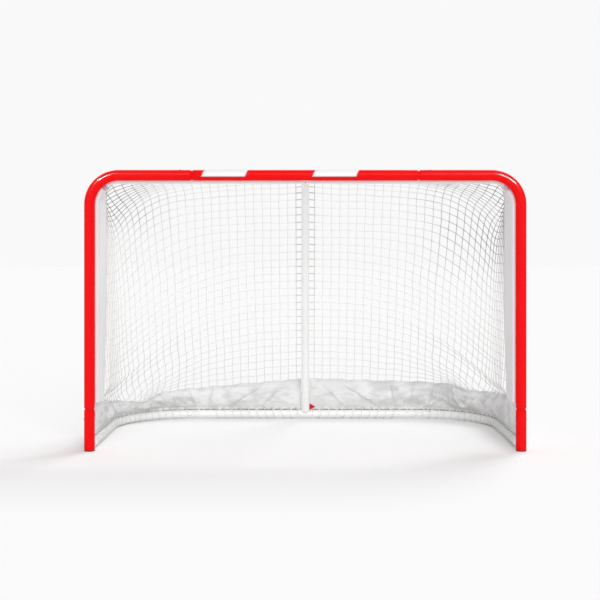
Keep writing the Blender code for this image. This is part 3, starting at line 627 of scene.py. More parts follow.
@dataclass(frozen=True)
class NetCord(BraidedCord):
    """Net cord, greyer towards the bottom, with painted shade that darkens it in the top corners and beside the
    support.
    """

    # ground is the grey towards the bottom; corner and support are painted shade, the dark grey of cords lying in shade
    # in the top corners and beside the support.
    ground: tuple[float, float, float] = (0.66, 0.66, 0.66)
    corner: tuple[float, float, float] = (0.3, 0.3, 0.3)
    support: tuple[float, float, float] = (0.22, 0.22, 0.22)

    def worn(self, recipe: Recipe, place: Link, colour: Link) -> Link:
        """The cord's colour, greyer towards the bottom, with painted shade in the top corners and beside the support.

        Args:
            recipe: The material's recipe.
            place: The place on the object.
            colour: The clean cord's colour.

        Returns:
            The colour.
        """
        across, depth, height = recipe.split(place)
        patchy = recipe.mottle(place, 6.0, 3.0).ease(0.25, 0.7) * 0.6 + 0.4
        # Greyer towards the bottom.
        low = (1.0 - height.ease(0.2, 0.62)) * 0.5
        # Painted shade: the cords darken in the top corners of each side.
        right = across.ease(0.42, 0.84) * height.ease(0.6, 0.98)
        left = (across * -1.0).ease(0.6, 0.84) * height.ease(0.9, 1.06)
        top = (right + left) * patchy
        # Painted shade: the cords darken in a strip beside the support.
        middle = (1.0 - abs(across).ease(0.035, 0.055)) * height.ease(0.2, 0.9) * 0.9
        colour = recipe.tint(low, colour, self.ground)
        colour = recipe.tint(top, colour, self.corner)
        return recipe.tint(middle, colour, self.support)


@dataclass(frozen=True)
class Canvas:
    """Coated polyester canvas: a plain weave, lock stitching along its hems and grey dust in its lower part, and where
    asked, painted shade of folds and creases and a painted shadow line along its lower edge.
    """

    name: str
    colour: tuple[float, float, float]
    thread: float = 0.0011
    stitch: float = 0.004
    hem_lines: tuple[float, ...] = (0.009,)
    dust_top: float = 0.0
    show_through: tuple[float, float] | None = None
    show_run: tuple[float, float, float, float] = (0.0, 0.0, 1.0, 1.0)
    # width of the painted shadow line along the lower edge
    edge_line: float = 0.0
    # strength of the painted shade of the folds and creases
    blotch: float = 0.0

    def material(self) -> bpy.types.Material:
        """Make the material."""
        recipe = Recipe(self.name)
        place = recipe.place()
        along, across, _ = recipe.split(recipe.lay())
        warp = (along * (WHOLE_TURN / self.thread)).sine()
        weft = (across * (WHOLE_TURN / self.thread)).sine()
        weave = warp * weft * 0.5 + 0.5
        cloud = recipe.mottle(place, 5.0, 4.0)
        slub = recipe.mottle(recipe.stretched(recipe.lay(), (18.0, 420.0, 1.0)), 1.0, 2.0)
        stitches = self.stitching(recipe, along, across)
        colour = recipe.tint(cloud.ease(0.3, 0.8), self.colour, shade(self.colour, 0.94))
        colour = recipe.tint(slub.ease(0.55, 0.8) * 0.35, colour, shade(self.colour, 0.86))
        if self.dust_top:
            low = 1.0 - recipe.split(place)[2].ease(0.0, self.dust_top)
            colour = recipe.tint(low * cloud * 0.45, colour, (0.52, 0.51, 0.5))
        if self.show_through:
            low, high = self.show_through
            start, full, fading, end = self.show_run
            patches = recipe.mottle(recipe.stretched(recipe.lay(), (34.0, 60.0, 1.0)), 1.0, 2.0).ease(low, high)
            red = along.ease(start, full) * (1.0 - along.ease(fading, end)) * (1.0 - across.ease(0.05, 0.09)) * patches
            colour = recipe.tint(red * 0.75, colour, (0.46, 0.17, 0.32))
        if self.blotch:
            # Painted shade of the folds: grey blotches, darker lines along the creases, and more of both towards the
            # sides of the skirt.
            worn = recipe.mottle(recipe.stretched(place, (9.0, 9.0, 17.0)), 1.0, 4.0).ease(0.42, 0.62)
            ridge = abs(recipe.mottle(recipe.stretched(place, (7.0, 7.0, 19.0)), 1.0, 3.0) - 0.5)
            crease = (1.0 - ridge.ease(0.0, 0.08)) * recipe.mottle(place, 6.0, 1.0).ease(0.4, 0.6)
            corner = abs(recipe.split(place)[0]).ease(0.15, 0.5) * 0.7 + 0.3
            colour = recipe.tint(worn * corner * self.blotch, colour, shade(self.colour, 0.7))
            colour = recipe.tint(crease * self.blotch * 0.4, colour, shade(self.colour, 0.62))
        if self.edge_line:
            # Painted shadow: a dark dashed line along the lower edge, where the gap between the cloth and the base tube
            # lies in shade.
            dashes = recipe.mottle(recipe.stretched(recipe.lay(), (46.0, 3.0, 1.0)), 1.0, 1.0).ease(0.4, 0.5)
            line = (1.0 - across.ease(self.edge_line * 0.8, self.edge_line)) * dashes
            colour = recipe.tint(line * 0.9, colour, (0.09, 0.09, 0.085))
        colour = recipe.tint(stitches * 0.6, colour, shade(self.colour, 0.6))
        roughness = weave * 0.1 + slub * 0.1 + 0.62
        recipe.constants(Sheen_Weight=0.1, Sheen_Roughness=0.6, Specular_IOR_Level=0.35)
        height = weave * 0.35 + slub * 0.3 - stitches * 0.9
        return recipe.finish(colour, roughness, recipe.relief(height, 0.0003))

    def stitching(self, recipe: Recipe, along: Link, across: Link) -> Link:
        """Rows of lock stitches.

        Args:
            recipe: The material's recipe.
            along: The distance along the cloth.
            across: The distance across it.

        Returns:
            1 on a stitch, and 0 beside it.
        """
        dashes = (along / self.stitch).fraction().ease(0.25, 0.35)
        total = dashes * 0.0
        for line in self.hem_lines:
            row = 1.0 - abs(across - line).ease(0.0004, 0.0011)
            total = total + row * dashes
        return total.least(1.0)


@dataclass(frozen=True)
class VinylLabel:
    """A bare vinyl label with a thin printed border."""

    name: str
    length: float
    height: float
    border: float = 0.0038

    def material(self) -> bpy.types.Material:
        """Make the material."""
        recipe = Recipe(self.name)
        place = recipe.place()
        along, across, _ = recipe.split(recipe.lay())
        inside = along.least(self.length - along).least(across.least(self.height - across))
        line = 1.0 - inside.ease(self.border * 0.7, self.border)
        cloud = recipe.mottle(place, 30.0, 3.0)
        colour = recipe.tint(cloud, (0.86, 0.86, 0.86), (0.9, 0.9, 0.9))
        colour = recipe.tint(line * 0.8, colour, (0.42, 0.42, 0.44))
        roughness = cloud * 0.12 + 0.24
        return recipe.finish(colour, roughness, recipe.relief(recipe.mottle(place, 140.0, 2.0), 0.00008))


@dataclass(frozen=True)
class Webbing:
    """Woven tape with ribs along it."""

    name: str
    colour: tuple[float, float, float]
    rib: float

    def material(self) -> bpy.types.Material:
        """Make the material."""
        recipe = Recipe(self.name)
        place = recipe.place()
        across, _, along = recipe.split(place)
        ribs = abs((along * (math.pi / self.rib)).sine())
        picks = abs((across * (math.pi / (self.rib * 0.6))).sine())
        fuzz = recipe.mottle(place, 1100.0, 2.0)
        # Painted shade: the colour darkens between the ribs and picks of the weave.
        colour = recipe.tint(ribs * picks, shade(self.colour, 0.55), self.colour)
        return recipe.finish(colour, fuzz * 0.2 + 0.65, recipe.relief(ribs * 0.6 + picks * 0.4, 0.0005))


RED = (0.92, 0.004, 0.006)
WHITE = (0.94, 0.94, 0.93)


class Materials:
    """The goal's finishes, each made once."""

    def __init__(self) -> None:
        """Make every material."""
        grey_rub = (0.55, 0.545, 0.53)
        self.red = PowderCoat("red_powder_coat", RED, 0.3, (0.42, 0.012, 0.014), gloss=0.01, coat=0.12).material()
        self.white = PowderCoat("white_powder_coat", WHITE, 0.32, grey_rub).material()
        self.zinc = PlatedSteel("zinc_plated_steel", (0.56, 0.55, 0.53), 0.32, 60.0).material()
        self.button = PlatedSteel("button_steel", (0.33, 0.3, 0.29), 0.36, 90.0).material()
        self.spring = PlatedSteel("spring_steel", (0.3, 0.32, 0.36), 0.3, 40.0).material()
        self.plastic = MouldedPlastic("black_plastic", (0.018, 0.018, 0.02)).material()
        self.net = NetCord("white_net_cord", (0.94, 0.94, 0.93), 0.006, 2).material()
        self.lace = BraidedCord("white_lacing_cord", (0.84, 0.84, 0.83), 0.005, 3).material()
        self.webbing = Webbing("red_webbing", (0.78, 0.012, 0.02), 0.0022).material()


class Tools:
    """Mesh work that every sub-assembly uses."""

    @staticmethod
    def object_from(shape: bmesh.types.BMesh, name: str, finish: bpy.types.Material) -> bpy.types.Object:
        """Turn a bmesh into an object with a finish.

        Args:
            shape: The bmesh, which is freed.
            name: The object's name.
            finish: Its material.

        Returns:
            The object, in the scene.
        """
        mesh = bpy.data.meshes.new(name)
        shape.to_mesh(mesh)
        shape.free()
        mesh.materials.append(finish)
        mesh.shade_smooth()
        mesh.set_sharp_from_angle(angle=math.radians(38))
        made = bpy.data.objects.new(name, mesh)
        bpy.context.scene.collection.objects.link(made)
        return made

    @staticmethod
    def settle(piece: bpy.types.Object) -> None:
        """Apply a piece's modifiers to its mesh."""
        bpy.context.view_layer.update()
        evaluated = piece.evaluated_get(bpy.context.evaluated_depsgraph_get())
        old = piece.data
        fresh = bpy.data.meshes.new_from_object(evaluated)
        piece.modifiers.clear()
        piece.data = fresh
        fresh.name = piece.name
        bpy.data.meshes.remove(old)

    @staticmethod
    def thicken(piece: bpy.types.Object, thickness: float, offset: float = 0.0) -> None:
        """Give an open surface its thickness."""
        wall = piece.modifiers.new("thickness", "SOLIDIFY")
        wall.thickness = thickness
        wall.offset = offset
        wall.use_even_offset = True

    @staticmethod
    def soften(piece: bpy.types.Object, width: float, segments: int = 2) -> None:
        """Round a piece's sharp edges."""
        edge = piece.modifiers.new("edge", "BEVEL")
        edge.width = width
        edge.segments = segments
        edge.limit_method = "ANGLE"
        edge.angle_limit = math.radians(50)

    @staticmethod
    def drill(piece: bpy.types.Object, radius: float, start: Vector, end: Vector) -> None:
        """Cut a round hole through a piece's wall.

        Args:
            piece: The piece.
            radius: The hole's radius.
            start: One end of the drill's way.
            end: The other end.
        """
        axis = end - start
        turn = axis.to_track_quat("Z", "Y").to_matrix().to_4x4()
        place = Matrix.Translation((start + end) / 2) @ turn
        shape = bmesh.new()
        bmesh.ops.create_cone(
            shape, cap_ends=True, segments=28, radius1=radius, radius2=radius, depth=axis.length, matrix=place
        )
        mesh = bpy.data.meshes.new("drill")
        shape.to_mesh(mesh)
        shape.free()
        cutter = bpy.data.objects.new("drill", mesh)
        bpy.context.scene.collection.objects.link(cutter)
        hole = piece.modifiers.new("hole", "BOOLEAN")
        hole.operation = "DIFFERENCE"
        hole.object = cutter
        Tools.settle(piece)
        bpy.data.objects.remove(cutter)
        bpy.data.meshes.remove(mesh)
        piece.data.shade_smooth()
        piece.data.set_sharp_from_angle(angle=math.radians(38))

    @staticmethod
    def place_piece(piece: bpy.types.Object, body: str, slot: str, nodes: Iterable[str]) -> bpy.types.Object:
        """Hand a finished piece over to the frame.

        Args:
            piece: The piece.
            body: The body that it rides on.
            slot: The record's material slot; not used.
            nodes: The CAD nodes that it stands for.

        Returns:
            The piece.
        """
        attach(piece, body)
        names = list(nodes)
        if names:
            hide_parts(*names)
        LOG.info("%s: %d faces, on %s", piece.name, len(piece.data.polygons), body)
        return piece


@dataclass(frozen=True)
class Station:
    """One round section of a swept piece."""

    place: Vector
    radius: float


class RoundSweep:
    """A round section that is drawn along a route by extrusion, with a lay map in metres."""

    def __init__(self, sides: int) -> None:
        """Choose how round the section is.

        Args:
            sides: How many faces go round it.
        """
        self.sides = sides

    def frames(self, stations: Sequence[Station]) -> list[Matrix]:
        """The section's turn and place at each station, carried along without twist."""
        places = [station.place for station in stations]
        last = len(places) - 1
        found = []
        turn = None
        before = None
        for index, place in enumerate(places):
            tangent = (places[min(index + 1, last)] - places[max(index - 1, 0)]).normalized()
            if turn is None:
                turn = tangent.to_track_quat("Z", "Y")
            else:
                turn = before.rotation_difference(tangent) @ turn
            before = tangent
            found.append(Matrix.Translation(place) @ turn.to_matrix().to_4x4())
        return found

    def ring_place(self, where: Matrix, radius: float, index: int) -> Vector:
        """The place of one corner of a section."""
        turn = WHOLE_TURN * index / self.sides
        return where @ Vector((radius * math.cos(turn), radius * math.sin(turn), 0.0))

    def draw(self, stations: Sequence[Station], caps: bool) -> bmesh.types.BMesh:
        """Draw the section through the stations.

        Args:
            stations: The sections in order.
            caps: Whether the ends are closed.

        Returns:
            The bmesh, with its faces pointing outwards.
        """
        shape = bmesh.new()
        lay = shape.loops.layers.uv.new("lay")
        frames = self.frames(stations)
        made = bmesh.ops.create_circle(shape, cap_ends=False, segments=self.sides, radius=1.0)
        ring = self.in_order(made["verts"])
        for index, corner in enumerate(ring):
            corner.co = self.ring_place(frames[0], stations[0].radius, index)
        first_edges = self.ring_edges(ring)
        edges = first_edges
        run = 0.0
        for number in range(1, len(stations)):
            step = (stations[number].place - stations[number - 1].place).length
            geometry = bmesh.ops.extrude_edge_only(shape, edges=edges)["geom"]
            fresh = {part for part in geometry if isinstance(part, bmesh.types.BMVert)}
            following = []
            for index, corner in enumerate(ring):
                twin = next(edge.other_vert(corner) for edge in corner.link_edges if edge.other_vert(corner) in fresh)
                twin.co = self.ring_place(frames[number], stations[number].radius, index)
                following.append(twin)
            self.lay_faces(geometry, lay, ring, following, run, run + step)
            ring, run = following, run + step
            edges = self.ring_edges(ring)
        if caps:
            bmesh.ops.holes_fill(shape, edges=first_edges + edges, sides=0)
        self.face_outwards(shape, frames)
        return shape

    def in_order(self, corners: Sequence[bmesh.types.BMVert]) -> list[bmesh.types.BMVert]:
        """A circle's corners in the order of their angle."""
        return sorted(corners, key=lambda corner: math.atan2(corner.co.y, corner.co.x) % WHOLE_TURN)

    def ring_edges(self, ring: Sequence[bmesh.types.BMVert]) -> list[bmesh.types.BMEdge]:
        """The edges round a ring."""
        inside = set(ring)
        found = []
        for corner in ring:
            for edge in corner.link_edges:
                if edge.other_vert(corner) in inside and edge not in found:
                    found.append(edge)
        return found

    def lay_faces(
        self,
        geometry: Sequence[bmesh.types.BMVert | bmesh.types.BMEdge | bmesh.types.BMFace],
        lay: bmesh.types.BMLayerItem,
        near: Sequence[bmesh.types.BMVert],
        far: Sequence[bmesh.types.BMVert],
        start: float,
        end: float,
    ) -> None:
        """Write the lay map of the faces between two rings.

        Args:
            geometry: What the extrusion made.
            lay: The map's layer.
            near: The first ring.
            far: The second ring.
            start: The distance along the route at the first ring.
            end: The distance at the second.
        """
        shares = {corner: (index, start) for index, corner in enumerate(near)}
        shares.update({corner: (index, end) for index, corner in enumerate(far)})
        for face in (part for part in geometry if isinstance(part, bmesh.types.BMFace)):
            wraps = {shares[loop.vert][0] for loop in face.loops} == {0, self.sides - 1}
            for loop in face.loops:
                index, run = shares[loop.vert]
                if wraps and index == 0:
                    index = self.sides
                loop[lay].uv = (index / self.sides, run)

    def face_outwards(self, shape: bmesh.types.BMesh, frames: Sequence[Matrix]) -> None:
        """Turn the faces outwards, away from the route."""
        shape.faces.ensure_lookup_table()
        shape.normal_update()
        face = shape.faces[0]
        if face.normal.dot(face.calc_center_median() - frames[0].translation) < 0:
            bmesh.ops.reverse_faces(shape, faces=shape.faces[:])

    def piece(self, name: str, stations: Sequence[Station], finish: bpy.types.Material) -> bpy.types.Object:
        """A solid rod or cord."""
        return Tools.object_from(self.draw(stations, True), name, finish)

    def tube(self, name: str, stations: Sequence[Station], wall: float, finish: bpy.types.Material) -> bpy.types.Object:
        """A hollow tube.

        Args:
            name: The object's name.
            stations: The outer sections.
            wall: The wall's thickness.
            finish: The material.

        Returns:
            The object, with its wall made.
        """
        made = Tools.object_from(self.draw(stations, False), name, finish)
        Tools.thicken(made, wall, -1.0)
        Tools.settle(made)
        made.data.shade_smooth()
        made.data.set_sharp_from_angle(angle=math.radians(38))
        return made

    def bundle(self, name: str, routes: Sequence[Sequence[Station]], finish: bpy.types.Material) -> bpy.types.Object:
        """Several cords as one piece.

        Args:
            name: The object's name.
            routes: The sections of each cord.
            finish: The material.

        Returns:
            The object.
        """
        whole = bmesh.new()
        whole.loops.layers.uv.new("lay")
        for route in routes:
            single = self.draw(route, True)
            mesh = bpy.data.meshes.new("cord")
            single.to_mesh(mesh)
            single.free()
            whole.from_mesh(mesh)
            bpy.data.meshes.remove(mesh)
        return Tools.object_from(whole, name, finish)


def lip(place: Vector, inward: Vector, radius: float, size: float = 0.0007) -> list[Station]:
    """The rounded end of a tube, from its face inwards.

    Args:
        place: The middle of the tube's end.
        inward: The direction from the end into the tube's run.
        radius: The tube's outer radius.
        size: The radius of the rounded edge.

    Returns:
        The first stations of the tube.
    """
    turns = [math.pi / 2 * step / 3 for step in range(4)]
    return [
        Station(place + inward * size * (1 - math.cos(turn) + 0.02), radius - size * (1 - math.sin(turn)))
        for turn in turns
    ]


def swage(place: Vector, ahead: Vector, length: float, wide: float, narrow: float) -> list[Station]:
    """The eased step from a tube's full radius down to its spigot.

    Args:
        place: Where the step starts, at the full radius.
        ahead: The direction towards the spigot.
        length: How long the step is.
        wide: The full radius.
        narrow: The spigot's radius.

    Returns:
        The stations of the step.
    """
    shares = [step / 6 for step in range(7)]
    return [Station(place + ahead * length * share, wide + (narrow - wide) * smooth_step(share)) for share in shares]


def weld_bead(
    axis: Vector, middle: Vector, radius: float, floor_of: Callable[[Vector], float], bead: float
) -> list[Station]:
    """A rippled weld bead round the root of a stub.

    Args:
        axis: The stub's direction.
        middle: A point on its axis.
        radius: The stub's radius.
        floor_of: How far along the axis from the middle the other tube's surface lies, for a point beside the axis.
        bead: The bead's radius.

    Returns:
        The bead's stations, a little more than once round.
    """
    turn = axis.to_track_quat("Z", "Y").to_matrix()
    stations = []
    steps = 76
    for index in range(steps + 3):
        angle = WHOLE_TURN * index / steps
        beside = turn @ Vector((math.cos(angle), math.sin(angle), 0.0)) * radius
        swell = 1.0 + 0.16 * math.sin(WHOLE_TURN * index / 4)
        stations.append(Station(middle + beside + axis * floor_of(beside), bead * swell))
    return stations


class Turning:
    """Pieces that are turned from a profile."""

    @staticmethod
    def shape(profile: Sequence[tuple[float, float]], steps: int, place: Matrix) -> bmesh.types.BMesh:
        """Spin a profile round its axis.

        Args:
            profile: Radius and height down the outer side, from one pole to the other.
            steps: How many faces go round.
            place: Where the turned shape stands.

        Returns:
            The bmesh.
        """
        shape = bmesh.new()
        lay = shape.loops.layers.uv.new("lay")
        corners = [shape.verts.new((radius, 0.0, z)) for radius, z in profile]
        edges = [shape.edges.new(pair) for pair in zip(corners, corners[1:])]
        bmesh.ops.spin(
            shape, geom=corners + edges, cent=(0, 0, 0), axis=(0, 0, 1), angle=WHOLE_TURN, steps=steps, use_merge=True
        )
        bmesh.ops.remove_doubles(shape, verts=shape.verts, dist=1e-6)
        bmesh.ops.recalc_face_normals(shape, faces=shape.faces)
        for face in shape.faces:
            for loop in face.loops:
                loop[lay].uv = (loop.vert.co.x, loop.vert.co.y)
        bmesh.ops.transform(shape, matrix=place, verts=shape.verts)
        return shape


class Cloth:
    """A woven sheet: a grid of faces with a lay map in metres and a thickness."""

    @staticmethod
    def sheet(
        name: str,
        cells: tuple[int, int],
        size: tuple[float, float],
        place: Callable[[float, float], Vector],
        finish: bpy.types.Material,
        keep: Callable[[float, float], bool] | None = None,
    ) -> bpy.types.Object:
        """Lay a sheet out.

        Args:
            name: The object's name.
            cells: How many faces it has along and across.
            size: Its cut length and width.
            place: Where the sheet lies at each share along and across.
            finish: The material.
            keep: Whether a face at a share along and across is kept, for eyelets.

        Returns:
            The object, as an open surface.
        """
        grid = bmesh.new()
        lay = grid.loops.layers.uv.new("lay")
        bmesh.ops.create_grid(grid, x_segments=cells[0], y_segments=cells[1], size=0.5)
        shares = {corner: (corner.co.x + 0.5, corner.co.y + 0.5) for corner in grid.verts}
        if keep is not None:
            lost = []
            for face in grid.faces:
                middle = face.calc_center_median()
                if not keep(middle.x + 0.5, middle.y + 0.5):
                    lost.append(face)
            bmesh.ops.delete(grid, geom=lost, context="FACES")
            shares = {corner: shares[corner] for corner in grid.verts}
        for face in grid.faces:
            for loop in face.loops:
                along, across = shares[loop.vert]
                loop[lay].uv = (along * size[0], across * size[1])
        for corner, (along, across) in shares.items():
            corner.co = place(along, across)
        return Tools.object_from(grid, name, finish)


@dataclass
class FrontFrame:
    """The red frame: crossbar, corner tubes, feet, their caps and the two bare labels."""

    materials: Materials
    sides: int = 56
    cap_flange: float = 0.0037
    cap_insert: float = 0.016
    stub_reach: float = 0.11
    label_middles: tuple[float, float] = (-0.349, 0.132)
    label_half: float = 0.096
    label_slant: float = 0.014
    label_low: float = math.radians(-19)
    label_high: float = math.radians(71)
    label_t: float = 0.0004
    tubes: dict[str, bpy.types.Object] = field(default_factory=dict)

    def build(self) -> None:
        """Build every piece of the red frame."""
        self.crossbar()
        for side in Side:
            self.post_corner(side)
            self.foot(side)
            self.foot_cap(side)
        for side, middle in zip(Side, self.label_middles):
            self.label(side, middle)

    def crossbar(self) -> None:
        """The middle tube, swaged down at both ends to slide into the corner tubes."""
        small = PLAN.spigot_radius(PLAN.red_r, PLAN.red_wall)
        end = PLAN.at(PLAN.frame_seam_x + PLAN.spigot, 0.0, PLAN.bar_z)
        half = lip(end, -RIGHT, small)
        step_end = PLAN.at(PLAN.frame_seam_x - PLAN.neck, 0.0, PLAN.bar_z)
        step = swage(step_end - RIGHT * PLAN.swage, RIGHT, PLAN.swage, PLAN.red_r, small)
        half += [Station(end.lerp(step_end, share), small) for share in (0.3, 0.45, 0.6, 0.8)]
        half += step[::-1]
        half += [Station(PLAN.at(x, 0.0, PLAN.bar_z), PLAN.red_r) for x in (0.4, 0.25, 0.1, 0.045, 0.03, 0.015)]
        mirror = [Station(Vector((-s.place.x, s.place.y, s.place.z)), s.radius) for s in half]
        tube = RoundSweep(self.sides).tube("crossbar_tube", half + mirror[::-1], PLAN.red_wall, self.materials.red)
        self.tubes["crossbar"] = tube
        Tools.place_piece(tube, "goal", "red_powder_coat", ["crossbar"])

    def post_corner(self, side: Side) -> None:
        """One bent tube: the arm on the crossbar's line, the corner and the post with its swaged lower end."""
        small = PLAN.spigot_radius(PLAN.red_r, PLAN.red_wall)
        start = PLAN.at(side.value * (PLAN.frame_seam_x + PLAN.seam), 0.0, PLAN.bar_z)
        route = lip(start, side.out, PLAN.red_r)
        route += [Station(start + side.out * run, PLAN.red_r) for run in (0.03, 0.045, 0.06, 0.15, 0.27)]
        route += [Station(point, PLAN.red_r) for point in PLAN.frame_arc(side, PLAN.corner_r, 0.0, 48)]
        seam = PLAN.at(side.value * PLAN.post_x, 0.0, PLAN.post_seam_z)
        route += [Station(seam + UP * run, PLAN.red_r) for run in (0.75, 0.6, 0.45, 0.3, 0.15, 0.05)]
        route += swage(seam + UP * (PLAN.neck + PLAN.swage), -UP, PLAN.swage, PLAN.red_r, small)
        route += [Station(seam - UP * run, small) for run in (0.0, 0.03, 0.048)]
        route += lip(seam - UP * PLAN.spigot, UP, small)[::-1]
        tube = RoundSweep(self.sides).tube(f"{side.label}_post_tube", route, PLAN.red_wall, self.materials.red)
        self.tubes[f"{side.label}_post_corner"] = tube
        Tools.place_piece(tube, "goal", "red_powder_coat", [f"{side.label}_post_corner"])

    def foot(self, side: Side) -> None:
        """The short tube under the post, with the welded stub that carries the base rail."""
        bottom = PLAN.at(side.value * PLAN.post_x, 0.0, self.cap_flange + PLAN.gap)
        top = PLAN.at(side.value * PLAN.post_x, 0.0, PLAN.post_seam_z - PLAN.seam / 2)
        route = lip(bottom, UP, PLAN.red_r)
        route += [Station(bottom.lerp(top, share), PLAN.red_r) for share in (0.1, 0.25, 0.5, 0.7, 0.78, 0.88)]
        route += lip(top, -UP, PLAN.red_r)[::-1]
        sweep = RoundSweep(self.sides)
        tube = sweep.tube(f"{side.label}_foot_tube", route, PLAN.red_wall, self.materials.red)
        stub_r = PLAN.spigot_radius(PLAN.white_r, PLAN.white_wall)
        axis = PLAN.at(side.value * PLAN.post_x, 0.0, PLAN.base_z)
        reach = PLAN.red_r - 0.004
        stub_route = [Station(axis + BACK * run, stub_r) for run in (reach, 0.04, 0.07)]
        stub_route += lip(axis + BACK * self.stub_reach, -BACK, stub_r)[::-1]
        stub = sweep.tube("stub", stub_route, PLAN.red_wall, self.materials.red)

        def wall_of(beside: Vector) -> float:
            return math.sqrt(PLAN.red_r**2 - min(beside.x**2, PLAN.red_r**2))

        bead_route = weld_bead(BACK, axis, stub_r, wall_of, 0.0017)
        bead = RoundSweep(10).piece("bead", bead_route, self.materials.red)
        self.merge(tube, [stub, bead])
        self.tubes[f"{side.label}_foot"] = tube
        Tools.place_piece(tube, "goal", "red_powder_coat", [f"{side.label}_foot"])

    @staticmethod
    def merge(piece: bpy.types.Object, others: Sequence[bpy.types.Object]) -> None:
        """Weld other meshes into a piece.

        Args:
            piece: The piece that stays.
            others: The objects whose meshes go into it.
        """
        whole = bmesh.new()
        whole.from_mesh(piece.data)
        for other in others:
            whole.from_mesh(other.data)
            mesh = other.data
            bpy.data.objects.remove(other)
            bpy.data.meshes.remove(mesh)
        whole.to_mesh(piece.data)
        whole.free()
        piece.data.shade_smooth()
        piece.data.set_sharp_from_angle(angle=math.radians(38))

    def foot_cap(self, side: Side) -> None:
        """The plug under the foot, with a flange as wide as the tube."""
        insert = PLAN.spigot_radius(PLAN.red_r, PLAN.red_wall)
        edge = 0.0008
        rim = [
            (PLAN.red_r - edge * (1 - math.sin(turn)), self.cap_flange - edge * (1 - math.cos(turn)))
            for turn in (0.0, math.pi / 6, math.pi / 3, math.pi / 2)
        ]
        low = [
            (PLAN.red_r - edge * (1 - math.cos(turn)), edge * (1 - math.sin(turn)))
            for turn in (0.0, math.pi / 6, math.pi / 3, math.pi / 2)
        ]
        top = self.cap_flange + self.cap_insert
        profile = [(0.0, top - 0.004), (insert - 0.004, top - 0.004), (insert - 0.003, top), (insert - 0.0007, top)]
        profile += [(insert, top - 0.001), (insert, self.cap_flange)]
        profile += rim + low + [(0.014, 0.0), (0.012, 0.0009), (0.0, 0.0009)]
        place = Matrix.Translation(PLAN.at(side.value * PLAN.post_x, 0.0, 0.0))
        cap = Tools.object_from(
            Turning.shape(profile, self.sides, place), f"{side.label}_foot_plug", self.materials.plastic
        )
        Tools.place_piece(cap, "goal", "black_plastic", [f"{side.label}_foot_cap"])

    def label(self, side: Side, middle: float) -> None:
        """A bare label with slanted ends, stuck on the upper front of the crossbar."""
        radius = (PLAN.red_r + PLAN.gap) / math.cos((self.label_high - self.label_low) / 12)
        height = radius * (self.label_high - self.label_low)
        finish = VinylLabel(f"{side.label}_label_vinyl", 2 * self.label_half, height).material()

        def place(along: float, across: float) -> Vector:
            turn = self.label_low + (self.label_high - self.label_low) * across
            x = middle + self.label_half * (2 * along - 1) + self.label_slant * (across - 0.5)
            return PLAN.at(x, -radius * math.cos(turn), PLAN.bar_z + radius * math.sin(turn))

        label = Cloth.sheet(f"{side.label}_bare_label", (12, 20), (2 * self.label_half, height), place, finish)
        Tools.thicken(label, self.label_t, 1.0)
        Tools.settle(label)
        Tools.place_piece(label, "goal", "white_label", [f"{side.label}_label"])


